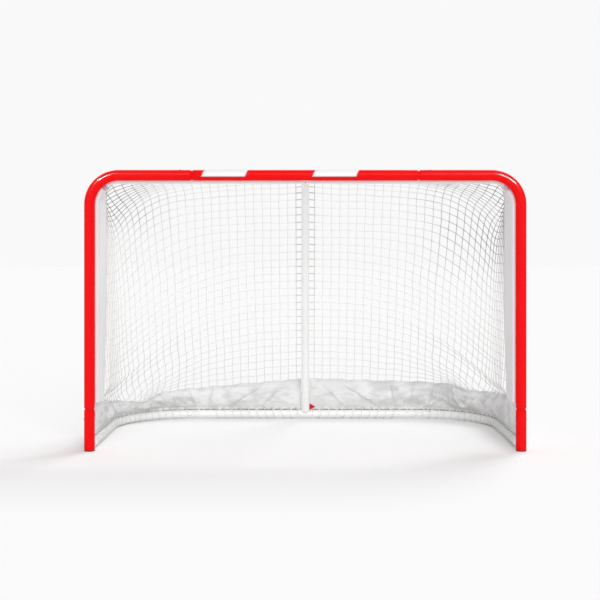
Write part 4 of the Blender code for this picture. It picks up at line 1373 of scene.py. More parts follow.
@dataclass
class Base:
    """The white base: two bent rails, and the rear tube with the sleeve for the support."""

    materials: Materials
    sides: int = 48
    rail_start: float = 0.025
    tubes: dict[str, bpy.types.Object] = field(default_factory=dict)

    def build(self) -> None:
        """Build the rails and the rear tube."""
        for side in Side:
            self.rail(side)
        self.rear_tube()

    def rail(self, side: Side) -> None:
        """A tube from the foot's stub back and round the rear corner, swaged down for the rear tube."""
        small = PLAN.spigot_radius(PLAN.white_r, PLAN.white_wall)
        start = PLAN.at(side.value * PLAN.post_x, self.rail_start, PLAN.base_z)
        route = lip(start, BACK, PLAN.white_r)
        route += [Station(start + BACK * run, PLAN.white_r) for run in (0.035, 0.045, 0.06, 0.2, 0.4)]
        bend = PLAN.base_arc(side, PLAN.base_corner_r, PLAN.base_z, math.radians(2), math.pi / 2, 44)
        route += [Station(point, PLAN.white_r) for point in reversed(bend)]
        seam = PLAN.at(side.value * PLAN.rear_seam_x, PLAN.base_run, PLAN.base_z)
        route += swage(seam + side.out * (PLAN.neck + PLAN.swage), -side.out, PLAN.swage, PLAN.white_r, small)
        route += [Station(seam - side.out * run, small) for run in (0.0, 0.035, 0.055)]
        route += lip(seam - side.out * PLAN.spigot, side.out, small)[::-1]
        tube = RoundSweep(self.sides).tube(f"{side.label}_rail_tube", route, PLAN.white_wall, self.materials.white)
        self.tubes[f"{side.label}_base_rail"] = tube
        Tools.place_piece(tube, "goal", "white_powder_coat", [f"{side.label}_base_rail"])

    def rear_tube(self) -> None:
        """The straight rear tube with the leaning sleeve welded to its middle."""
        end = PLAN.at(PLAN.rear_seam_x - PLAN.seam, PLAN.base_run, PLAN.base_z)
        half = lip(end, -RIGHT, PLAN.white_r)
        marks = (0.54, 0.53, 0.515, 0.4, 0.25, 0.1)
        half += [Station(PLAN.at(x, PLAN.base_run, PLAN.base_z), PLAN.white_r) for x in marks]
        mirror = [Station(Vector((-s.place.x, s.place.y, s.place.z)), s.radius) for s in half]
        sweep = RoundSweep(self.sides)
        tube = sweep.tube("rear_tube_and_sleeve", half + mirror[::-1], PLAN.white_wall, self.materials.white)
        middle = PLAN.at(0.0, PLAN.base_run, PLAN.base_z)
        lean = PLAN.lean_axis
        sleeve_r = PLAN.sleeve_bore + PLAN.sleeve_wall
        marks = (PLAN.white_r - 0.003, 0.04, 0.06, 0.075, 0.088, 0.1)
        route = [Station(middle + lean * run, sleeve_r) for run in marks]
        route += lip(middle + lean * PLAN.sleeve_length, -lean, sleeve_r)[::-1]
        sleeve = sweep.tube("sleeve", route, PLAN.sleeve_wall, self.materials.white)
        level = lean.cross(RIGHT)

        def wall_of(beside: Vector) -> float:
            sideways = beside.dot(level)
            return math.sqrt(max(PLAN.white_r**2 - sideways**2, 0.0))

        bead = RoundSweep(10).piece("bead", weld_bead(lean, middle, sleeve_r, wall_of, 0.0019), self.materials.white)
        FrontFrame.merge(tube, [sleeve, bead])
        self.tubes["rear_base_tube"] = tube
        Tools.place_piece(tube, "goal", "white_powder_coat", ["rear_base_tube"])


@dataclass
class CentreSupport:
    """The support tube, the bracket that holds it on the crossbar, and the bracket's screws."""

    materials: Materials
    wall: float = 0.0018
    insert: float = 0.075
    saddle_t: float = 0.003
    saddle_half: float = 0.038
    saddle_angle: float = math.radians(110)
    spigot: float = 0.07
    screw_x: float = 0.03
    screw_r: float = 0.003
    head_r: float = 0.005
    head_t: float = 0.004
    screw_reach: float = 0.016
    tubes: dict[str, bpy.types.Object] = field(default_factory=dict)

    @property
    def saddle_r(self) -> float:
        """The saddle's inner radius."""
        return (PLAN.red_r + PLAN.gap) / math.cos(self.saddle_angle / 10)

    def build(self) -> None:
        """Build the tube, the bracket and its screws."""
        self.tube()
        self.bracket()
        for side in Side:
            self.screw(side)

    def tube(self) -> None:
        """One bent tube from the bracket back, round the bend and down into the sleeve."""
        corner, tangent = PLAN.support_bend()
        front = PLAN.at(0.0, self.saddle_r + self.saddle_t + 2 * PLAN.gap, PLAN.bar_z)
        centre = corner - BACK * tangent - UP * PLAN.support_bend_r
        bend = arc(centre, UP, BACK, PLAN.support_bend_r, math.pi / 2 - PLAN.support_lean, 36)
        foot = PLAN.at(0.0, PLAN.base_run, PLAN.base_z) + PLAN.lean_axis * (PLAN.sleeve_length - self.insert)
        route = lip(front, BACK, PLAN.support_r)
        route += [Station(front.lerp(bend[0], share), PLAN.support_r) for share in (0.2, 0.5, 0.8)]
        route += [Station(point, PLAN.support_r) for point in bend]
        route += [Station(bend[-1].lerp(foot, share), PLAN.support_r) for share in (0.25, 0.5, 0.75, 0.93, 0.96)]
        route += lip(foot, PLAN.lean_axis, PLAN.support_r)[::-1]
        tube = RoundSweep(44).tube("support_tube", route, self.wall, self.materials.white)
        self.tubes["centre_support"] = tube
        Tools.place_piece(tube, "goal", "white_powder_coat", ["centre_support"])

    def bracket(self) -> None:
        """A saddle on the back of the crossbar with the spigot that the support slides onto."""

        def place(along: float, across: float) -> Vector:
            turn = self.saddle_angle * (across - 0.5)
            x = self.saddle_half * (2 * along - 1)
            return PLAN.at(x, self.saddle_r * math.cos(turn), PLAN.bar_z + self.saddle_r * math.sin(turn))

        size = (2 * self.saddle_half, self.saddle_r * self.saddle_angle)
        saddle = Cloth.sheet("support_saddle", (8, 16), size, place, self.materials.red)
        Tools.thicken(saddle, self.saddle_t, -1.0)
        Tools.soften(saddle, 0.0007)
        Tools.settle(saddle)
        radius = PLAN.spigot_radius(PLAN.support_r, self.wall)
        root = PLAN.at(0.0, self.saddle_r + self.saddle_t / 2, PLAN.bar_z)
        tip = PLAN.at(0.0, PLAN.red_r + self.saddle_t + self.spigot, PLAN.bar_z)
        route = [Station(root.lerp(tip, share), radius) for share in (0.0, 0.4, 0.8)]
        route += lip(tip, -BACK, radius)[::-1]
        spigot = RoundSweep(40).tube("spigot", route, self.saddle_t, self.materials.red)
        FrontFrame.merge(saddle, [spigot])
        Tools.place_piece(saddle, "goal", "red_powder_coat", ["support_bracket"])

    def screw(self, side: Side) -> None:
        """A pan head screw with a hexagon socket, through the saddle into the crossbar's wall."""
        seat = self.saddle_r + self.saddle_t + PLAN.gap
        dome = [
            (self.head_r * math.sin(turn), self.head_t * (0.45 + 0.55 * math.cos(turn)))
            for turn in (0.62, 0.8, 1.0, 1.2, 1.4, math.pi / 2)
        ]
        profile = [(0.0, 0.0012), (0.0018, 0.0012), (0.002, dome[0][1])]
        profile += dome + [(self.head_r, 0.0), (self.screw_r, 0.0)]
        for pitch in range(14):
            run = -0.001 - pitch * 0.001
            profile += [(self.screw_r, run), (self.screw_r * 0.84, run - 0.0005)]
        profile += [(self.screw_r * 0.6, -self.screw_reach), (0.0, -self.screw_reach)]
        turn = Matrix.Rotation(-math.pi / 2, 4, "X")
        place = Matrix.Translation(PLAN.at(side.value * self.screw_x, seat, PLAN.bar_z)) @ turn
        screw = Tools.object_from(Turning.shape(profile, 24, place), f"{side.label}_pan_screw", self.materials.zinc)
        Tools.place_piece(screw, "goal", "zinc_plated_steel", [f"{side.label}_bracket_screw"])


@dataclass
class SnapButtons:
    """The nine spring buttons that lock the slip joints, and the holes in the tubes that they stand in."""

    materials: Materials
    tubes: dict[str, bpy.types.Object]
    radius: float = 0.00425
    proud: float = 0.0018
    flange_r: float = 0.006
    flange_t: float = 0.0012
    frame_run: float = 0.0455
    post_run: float = 0.039
    rail_run: float = 0.07
    rear_run: float = 0.045
    support_run: float = 0.035

    def build(self) -> None:
        """Build every button and drill the tubes."""
        red_bore = self.bore(PLAN.red_r, PLAN.red_wall, PLAN.red_wall)
        white_bore = self.bore(PLAN.white_r, PLAN.white_wall, PLAN.white_wall)
        stub_bore = self.bore(PLAN.white_r, PLAN.white_wall, PLAN.red_wall)
        for side in Side:
            name = side.label
            frame_place = PLAN.at(side.value * (PLAN.frame_seam_x + self.frame_run), 0.0, PLAN.bar_z)
            self.button(f"{name}_crossbar_button", frame_place, UP, PLAN.red_r, red_bore, ["crossbar", f"{name}_post_corner"])
            post_place = PLAN.at(side.value * PLAN.post_x, 0.0, PLAN.post_seam_z - self.post_run)
            self.button(
                f"{name}_post_button", post_place, side.out, PLAN.red_r, red_bore, [f"{name}_post_corner", f"{name}_foot"]
            )
            rail_place = PLAN.at(side.value * PLAN.post_x, self.rail_run, PLAN.base_z)
            self.button(
                f"{name}_rail_button", rail_place, side.out, PLAN.white_r, stub_bore, [f"{name}_foot", f"{name}_base_rail"]
            )
            rear_place = PLAN.at(side.value * (PLAN.rear_seam_x - self.rear_run), PLAN.base_run, PLAN.base_z)
            self.button(
                f"{name}_rear_button", rear_place, BACK, PLAN.white_r, white_bore, [f"{name}_base_rail", "rear_base_tube"]
            )
        place = PLAN.at(0.0, PLAN.base_run, PLAN.base_z) + PLAN.lean_axis * (PLAN.sleeve_length - self.support_run)
        behind = Vector((0.0, math.cos(PLAN.support_lean), math.sin(PLAN.support_lean)))
        sleeve_r = PLAN.sleeve_bore + PLAN.sleeve_wall
        support_bore = (PLAN.support_r - 0.0018) * PLAN.facet
        self.button("support_button", place, behind, sleeve_r, support_bore, ["centre_support", "rear_base_tube"])

    @staticmethod
    def bore(outer: float, outer_wall: float, inner_wall: float) -> float:
        """The radius inside the tube end that a button sits in."""
        return (PLAN.spigot_radius(outer, outer_wall) - inner_wall) * PLAN.facet

    def button(self, name: str, centre: Vector, out: Vector, outer: float, bore: float, walls: Sequence[str]) -> None:
        """One button, which rides on its own body.

        Args:
            name: The CAD node and body.
            centre: Its place on the tube's axis.
            out: The way that its head faces.
            outer: The outer tube's radius.
            bore: The inner tube's bore.
            walls: The tubes that it passes through.
        """
        flange = math.sqrt(bore**2 - self.flange_r**2) - PLAN.gap
        tip = outer + self.proud
        crown = 0.0011
        head = [
            (self.radius * math.sin(turn), tip - crown * (1 - math.cos(turn)))
            for turn in (0.0, 0.35, 0.65, 0.9, 1.15, 1.35, math.pi / 2)
        ]
        profile = head + [(self.radius, flange + 0.0003), (self.radius + 0.0003, flange), (self.flange_r, flange)]
        profile += [(self.flange_r, flange - self.flange_t), (0.0, flange - self.flange_t)]
        turn = out.to_track_quat("Z", "Y").to_matrix().to_4x4()
        shape = Turning.shape(profile, 28, Matrix.Translation(centre) @ turn)
        made = Tools.object_from(shape, f"{name}_head", self.materials.button)
        for wall in walls:
            Tools.drill(
                self.tubes[wall], self.radius + PLAN.gap, centre + out * (flange - self.flange_t), centre + out * (tip + 0.002)
            )
        Tools.place_piece(made, name, "zinc_plated_steel", [name])


@dataclass
class LacingBars:
    """The three thin red bars behind the frame, each with its ends turned out and tacked to the tubes."""

    materials: Materials
    seam_clear: float = 0.0375
    bottom_z: float = 0.215
    bend: float = 0.006

    def build(self) -> None:
        """Build the three bars."""
        rod_z = PLAN.bar_z - PLAN.rod_inset
        reach = PLAN.frame_seam_x - self.seam_clear
        first = self.end(-reach, rod_z, UP, RIGHT)
        last = self.end(reach, rod_z, UP, -RIGHT)
        self.bar("crossbar_lacing_bar", first + last[::-1])
        for side in Side:
            first = self.end(side.value * (PLAN.frame_seam_x + self.seam_clear), rod_z, UP, side.out)
            bend = PLAN.frame_arc(side, PLAN.corner_r - PLAN.rod_inset, PLAN.rod_back, 32)
            last = self.end(side.value * (PLAN.post_x - PLAN.rod_inset), self.bottom_z, side.out, UP)
            self.bar(f"{side.label}_lacing_bar", first + bend + last[::-1])

    def end(self, x: float, z: float, outward: Vector, inward_run: Vector) -> list[Vector]:
        """The bent end of a bar: out to the tube that it is tacked to, and onto the bar's own line."""
        line = PLAN.at(x, PLAN.rod_back, z)
        side_reach = PLAN.rod_back - PLAN.rod_r
        weld = PLAN.rod_inset - math.sqrt(PLAN.red_r**2 - side_reach**2) - 2 * PLAN.gap
        start = line + outward * weld
        turned = arc(line + outward * self.bend + inward_run * self.bend, -inward_run, -outward, self.bend, math.pi / 2, 7)
        return [start, start.lerp(turned[0], 0.5), *turned]

    def bar(self, name: str, points: Sequence[Vector]) -> None:
        """Sweep one bar, with a tack weld at each end."""
        stations = [Station(point, PLAN.rod_r) for point in points]
        bar = RoundSweep(18).piece(f"{name}_rod", stations, self.materials.red)
        tacks = []
        for tip in (points[0], points[-1]):
            shape = bmesh.new()
            shape.loops.layers.uv.new("lay")
            bmesh.ops.create_icosphere(shape, subdivisions=3, radius=PLAN.rod_r * 1.35, matrix=Matrix.Translation(tip))
            for corner in shape.verts:
                corner.co += noise.noise_vector(corner.co * 260.0) * 0.0006
            tacks.append(Tools.object_from(shape, "tack", self.materials.red))
        FrontFrame.merge(bar, tacks)
        Tools.place_piece(bar, "goal", "red_powder_coat", [name])


@dataclass
class CanvasBands:
    """The two canvas bands hooked over the lacing bars, which the net is sewn to."""

    thickness: float = 0.001
    steps: int = 10
    facing: float = 0.0108
    facing_share: float = 0.1
    wrap_share: float = 0.15
    tab_facing: float = 0.0074
    tab_half: float = 0.05
    tab_ease: float = 0.006
    tab_start: float = 0.0012
    tail: float = 0.018
    pucker: float = 0.0011
    crease: float = 0.0036

    @property
    def hook(self) -> float:
        """How far the middle of the canvas lies from the bar's axis."""
        return PLAN.rod_r + PLAN.gap + self.thickness / 2

    def build(self) -> None:
        """Build both bands."""
        for side in Side:
            self.band(side)

    def stations(self, side: Side) -> list[tuple[Vector, Vector]]:
        """The bar's axis along a band, from its tab at the support to its tail below the bar's end."""
        route = PLAN.band_route(side, self.steps)
        first, last = route[0][0], route[-1][0]
        tab = []
        for step in range(6):
            x = self.tab_start + (PLAN.band_inner_x - self.tab_start) * step / 6
            tab.append((Vector((side.value * x, first.y, first.z)), UP))
        tail = [(last - UP * self.tail * step / 3, side.out) for step in (1, 2, 3)]
        return tab + route + tail

    def band(self, side: Side) -> None:
        """One band, from the support along the crossbar, round the corner and down the post."""
        stations = self.stations(side)
        centre_line = Path([axis for axis, _ in stations])
        run = PLAN.band_back - PLAN.rod_back
        width = self.facing + self.hook * math.pi / 2 + run
        bend = PLAN.post_x - PLAN.corner_r
        finish = Canvas(
            f"{side.label}_band_canvas",
            (0.88, 0.88, 0.89),
            hem_lines=(0.022, width - 0.01, width - 0.004),
            show_through=(0.15, 0.3) if side is Side.LEFT else (0.4, 0.5),
            show_run=(bend - 0.03, bend + 0.02, bend + 0.12, bend + (0.16 if side is Side.LEFT else 0.24)),
        ).material()

        def place(along: float, across: float) -> Vector:
            """Where the band lies."""
            exact = along * (len(stations) - 1)
            index = min(int(exact), len(stations) - 2)
            (near, near_out), (far, far_out) = stations[index], stations[index + 1]
            axis = near.lerp(far, exact - index)
            outward = near_out.lerp(far_out, exact - index).normalized()
            if across < self.facing_share:
                return axis + outward * self.rise(axis.x) * (1 - across / self.facing_share) - BACK * self.hook
            if across < self.facing_share + self.wrap_share:
                turn = math.pi / 2 * (1 + (across - self.facing_share) / self.wrap_share)
                return axis + self.hook * (math.cos(turn) * outward - math.sin(turn) * BACK)
            share = (across - self.facing_share - self.wrap_share) / (1 - self.facing_share - self.wrap_share)
            sag = math.sin(math.pi * share)
            distance = along * centre_line.length
            ripple = self.pucker * math.sin(WHOLE_TURN * distance / 0.04) * smooth_step(share * 1.6 - 0.5) * (1 - share**6)
            crease = noise.noise(Vector((distance * 9.0, share * 2.2, side.value * 3.1))) * self.crease * sag
            start = axis - self.hook * outward
            return start.lerp(PLAN.band_edge(axis, outward), share) - outward * (self.thickness * sag - ripple - crease)

        def keep(along: float, across: float) -> bool:
            """Whether the band has cloth there: beside the support only its facing and its hook."""
            return across < self.facing_share + self.wrap_share or abs(place(along, across).x) > PLAN.band_inner_x

        cells = (260, 40)
        band = Cloth.sheet(f"{side.label}_canvas_band", cells, (centre_line.length, width), place, finish, keep)
        Tools.thicken(band, self.thickness)
        Tools.settle(band)
        f"{side.label}_lacing_bar_rod"
        Tools.place_piece(band, "goal", "white_canvas", [f"{side.label}_band"])

    def rise(self, x: float) -> float:
        """How far the facing stands up from the bar towards the red tube, lower beside the support's bracket."""
        beside = smooth_step((abs(x) - self.tab_half) / self.tab_ease)
        return self.tab_facing + (self.facing - self.tab_facing) * beside


@dataclass
class NetSurface:
    """The hanging surface of half the net, read by its run along a row and its share of the way down."""

    side: Side
    cord: float = 0.003
    start_x: float = 0.0045
    seat: float = 0.0015
    corner_turn: float = math.radians(45)
    bulge: float = 0.34
    edge_hold: int = 3
    row_steps: int = 48
    row_landings: tuple[tuple[float, float], ...] = (
        (0.0, 0.0),
        (0.295, 0.122),
        (0.575, 0.38),
        (0.66, 0.45),
        (0.735, 0.525),
        (0.778, 0.74),
        (0.818, 0.905),
        (0.87, 0.97),
        (1.0, 1.0),
    )
    steep_power: float = 9.0
    fall_power: float = 3.0
    slack: float = 0.27
    fall_from: float = 0.3
    fall_over: float = 0.28

    def __post_init__(self) -> None:
        """Work out the net's edges."""
        self.centre = Path(self.centre_points())
        self.outer = Path(self.side_points())
        self.front = Path(self.front_points())
        self.rear = Path(self.along_skirt(self.start_x, PLAN.pinch_distance, 40))
        self.rows: dict[float, Path] = {}
        self.front_row = self.row_between(self.front.points[0], self.outer.points[0], 0.0)
        self.rear_row = self.row_between(self.rear.points[0], self.outer.points[-1], 1.0)

    def centre_points(self) -> list[Vector]:
        """The net's line over the support, from the band to the skirt."""
        over = PLAN.support_r + PLAN.gap + self.cord / 2
        corner, tangent = PLAN.support_bend()
        radius = PLAN.support_bend_r + over
        centre = corner - BACK * tangent - UP * PLAN.support_bend_r
        foot = PLAN.at(0.0, PLAN.base_run, PLAN.skirt_middle_z + self.seat)
        away = foot - centre
        slope = math.atan2(away.y, -away.z) + math.acos(radius / away.length) - math.pi / 2
        bend = arc(centre, UP, BACK, radius + 0.001, math.pi / 2 - slope, 24)
        return [PLAN.at(0.0, PLAN.band_back, bend[0].z), *bend, foot]

    def band_edges(self) -> list[tuple[float, Vector]]:
        """The band's rear edge from the support to the post, with how far each point has turned."""
        found = []
        for axis, outward in PLAN.band_route(self.side, 6):
            turn = math.acos(max(-1.0, min(1.0, outward.z)))
            found.append((turn, PLAN.band_edge(axis, outward) + BACK * self.seat))
        return found

    def side_points(self) -> list[Vector]:
        """The net's outer edge: down the band, then back along the top of the skirt to the pinch."""
        down = [point for turn, point in self.band_edges() if turn >= self.corner_turn - 0.001]
        start = PLAN.half_base - PLAN.band_back - 2 * PLAN.rod_inset
        return down + self.along_skirt(start, PLAN.pinch_distance, 40)

    def front_points(self) -> list[Vector]:
        """The net's front edge: over the support, then along the band's rear edge into the corner."""
        edge = [point for turn, point in self.band_edges() if turn <= self.corner_turn + 0.001]
        start = self.centre.points[0].copy()
        start.x = self.side.value * self.start_x
        return [start, *edge[1:]]

    def along_skirt(self, start: float, end: float, steps: int) -> list[Vector]:
        """Points along the top of the skirt.

        Args:
            start: The first distance along half the base.
            end: The last distance.
            steps: How many stretches there are.

        Returns:
            The points in order.
        """
        points = []
        for step in range(steps + 1):
            distance = start + (end - start) * step / steps
            points.append(PLAN.base_point(self.side, distance, PLAN.skirt_top(self.side, distance) + self.seat)[0])
        return points

    def landing(self, down: float) -> float:
        """Where on the outer edge the row at this share of the way down ends."""
        knots = self.row_landings
        index = max(number for number in range(len(knots) - 1) if knots[number][0] <= down)
        slopes = []
        for number in (index, index + 1):
            low, high = knots[max(number - 1, 0)], knots[min(number + 1, len(knots) - 1)]
            slopes.append((high[1] - low[1]) / (high[0] - low[0]))
        (first, start), (last, end) = knots[index], knots[index + 1]
        width = last - first
        share = (down - first) / width
        near = share * (1 - share) ** 2 * slopes[0] * width
        far = share**2 * (1 - share) * slopes[1] * width
        return start + (end - start) * smooth_step(share) + near - far

    def row_between(self, start: Vector, end: Vector, down: float) -> Path:
        """A row: it leaves the support level, falls towards the side and turns forward round the corner.

        Args:
            start: Its end at the support.
            end: Its end on the outer edge.
            down: Its share of the way down the net.

        Returns:
            The row.
        """
        eased = smooth_step((down - self.fall_from) / self.fall_over)
        power = self.steep_power + (self.fall_power - self.steep_power) * eased
        slack = self.slack * (1.0 - eased)
        points = []
        for step in range(self.row_steps + 1):
            turn = math.pi / 2 * (1 - (1 - step / self.row_steps) ** 2)
            across, level = math.sin(turn), max(math.cos(turn), 0.0) ** self.bulge
            fallen = slack * across**2 + (1.0 - slack) * across**power
            x = start.x + (end.x - start.x) * across
            y = end.y + (start.y - end.y) * level
            z = start.z + (end.z - start.z) * fallen
            points.append(Vector((x, y, z)))
        return Path(points)

    def row_at(self, down: float) -> Path:
        """The row at this share of the way down, kept for the next reader."""
        key = round(down, 6)
        if key not in self.rows:
            inner = self.centre.at(down)
            inner.x = self.side.value * self.start_x
            self.rows[key] = self.row_between(inner, self.outer.at(self.landing(down)), down)
        return self.rows[key]

    def length_at(self, down: float) -> float:
        """The length of a row, with the pull of the front and rear edges."""
        front = (self.front.length - self.front_row.length) * (1 - down) ** self.edge_hold
        rear = (self.rear.length - self.rear_row.length) * down**self.edge_hold
        return self.row_at(down).length + front + rear

    def place(self, share: float, down: float) -> Vector:
        """A point of the net.

        Args:
            share: The share along the row, from the support to the outer edge.
            down: The share down, from the band to the skirt.

        Returns:
            The point.
        """
        front_pull = self.front.at(share) - self.front_row.at(share)
        rear_pull = self.rear.at(share) - self.rear_row.at(share)
        drawn = front_pull * (1 - down) ** self.edge_hold + rear_pull * down**self.edge_hold
        return self.row_at(down).at(share) + drawn


@dataclass
class Net:
    """The square-mesh net, sewn from a roof, a rear and a side panel on each side."""

    materials: Materials
    mesh: float = 0.0415
    roof_rows: int = 13
    rear_rows: int = 26
    split_column: int = 16
    radius: float = 0.0015
    knot_share: float = 1.2
    seam: float = 0.0008
    selvage: float = 0.62
    cover: float = 0.3

    @property
    def rows(self) -> int:
        """All the rows from the band to the skirt."""
        return self.roof_rows + self.rear_rows

    def build(self) -> None:
        """Build the six panels."""
        for side in Side:
            surface = NetSurface(side)
            rests = [f"{side.label}_canvas_band", f"{side.label}_canvas_skirt", "support_tube"]
            self.panel(surface, f"{side.label}_roof_net", (0, self.split_column), (0, self.roof_rows), rests)
            self.panel(surface, f"{side.label}_rear_net", (0, self.split_column), (self.roof_rows, self.rows), rests)
            self.panel(surface, f"{side.label}_side_net", (self.split_column, None), (0, self.rows), rests)

    def knot(self, surface: NetSurface, run: float, row: float) -> Vector:
        """A point of the net, with the slight unevenness of a hung net.

        Args:
            surface: The half net's surface.
            run: How far along the row it lies.
            row: The row.

        Returns:
            The point.
        """
        down = row / self.rows
        length = surface.length_at(down)
        point = surface.place(min(run / length, 1.0), down)
        loose = min(run, length - run) / (3 * self.mesh)
        hold = min(1.0, loose, row / 3, (self.rows - row) / 3)
        shift = noise.noise_vector(point * 9.0) * 0.004 + noise.noise_vector(point * 31.0) * 0.0016
        shift.x *= 0.7
        return point + shift * max(hold, 0.0)

    def panel(
        self,
        surface: NetSurface,
        name: str,
        across: tuple[int, int | None],
        down: tuple[int, int],
        rests: list[str],
    ) -> None:
        """One panel: a cord along every row and column, and a selvage drawn in by half the seam.

        Args:
            surface: The half net's surface.
            name: The CAD node that the panel stands for.
            across: The panel's first and last column, with none where it runs to the outer edge.
            down: Its first and last row.
            rests: The pieces that it hangs on; not used.
        """
        inset = self.seam / 2 + self.radius * self.selvage
        left = across[0] * self.mesh + (inset if across[0] else 0.0)
        right = None if across[1] is None else across[1] * self.mesh - inset
        top = down[0] + (inset / self.mesh if down[0] else 0.0)
        bottom = down[1] - (inset / self.mesh if down[1] < self.rows else 0.0)
        routes = []
        for row in range(down[0], down[1] + 1):
            level = min(max(row, top), bottom)
            reach = surface.length_at(level / self.rows) if right is None else right
            steps = 2 * max(1, round((reach - left) / self.mesh))
            marks = [(left + (reach - left) * step / steps, level) for step in range(steps + 1)]
            routes.append(self.cord(surface, marks, self.selvage if level != row else 1.0))
        runs = [left] + [column * self.mesh for column in range(across[0] + 1, across[1] or 60)]
        runs += [] if right is None else [right]
        levels = [top + (bottom - top) * step / (2 * (down[1] - down[0])) for step in range(2 * (down[1] - down[0]) + 1)]
        for run in runs:
            held = [(run, level) for level in levels if run <= surface.length_at(level / self.rows)]
            if len(held) < 2:
                continue
            held = self.carried(surface, run, held, (top, bottom))
            routes.append(self.cord(surface, held, self.selvage if run in (left, right) and run > 0.0 else 1.0))
        if right is None:
            edge = [(surface.length_at(level / self.rows), level) for level in levels]
            routes.append(self.cord(surface, edge, 1.0))
        panel = RoundSweep(6).bundle(f"{name}_mesh", routes, self.materials.net)
        cords = sum((far.place - near.place).length for route in routes for near, far in zip(route, route[1:]))
        length = (down[1] - down[0]) * self.mesh
        flat = (cords * self.mesh / 2 / length, length)
        self.cover * flat[0] * flat[1]
        Tools.place_piece(panel, "goal", "white_net_cord", [name])

    def carried(
        self, surface: NetSurface, run: float, held: list[tuple[float, float]], ends: tuple[float, float]
    ) -> list[tuple[float, float]]:
        """A column carried on to the outer edge where that crosses it.

        Args:
            surface: The half net's surface.
            run: The column's run along the rows.
            held: The places of it that the net holds.
            ends: The panel's top and bottom level.

        Returns:
            The places, with the crossings added.
        """
        found = list(held)
        for place, step in ((held[0], -0.5), (held[-1], 0.5)):
            level = place[1]
            if min(abs(level - end) for end in ends) < 0.001:
                continue
            inside, outside = level, level + step
            for _ in range(12):
                middle = (inside + outside) / 2
                if run <= surface.length_at(middle / self.rows):
                    inside = middle
                else:
                    outside = middle
            found.insert(0 if step < 0 else len(found), (run, inside))
        return found

    def cord(self, surface: NetSurface, marks: list[tuple[float, float]], thin: float) -> list[Station]:
        """A cord's sections, thicker where two cords meet.

        Args:
            surface: The half net's surface.
            marks: The runs and levels that it passes.
            thin: How much of the full radius a selvage keeps.

        Returns:
            The sections.
        """
        radii = (self.radius * thin * self.knot_share, self.radius * thin)
        return [Station(self.knot(surface, run, row), radii[index % 2]) for index, (run, row) in enumerate(marks)]


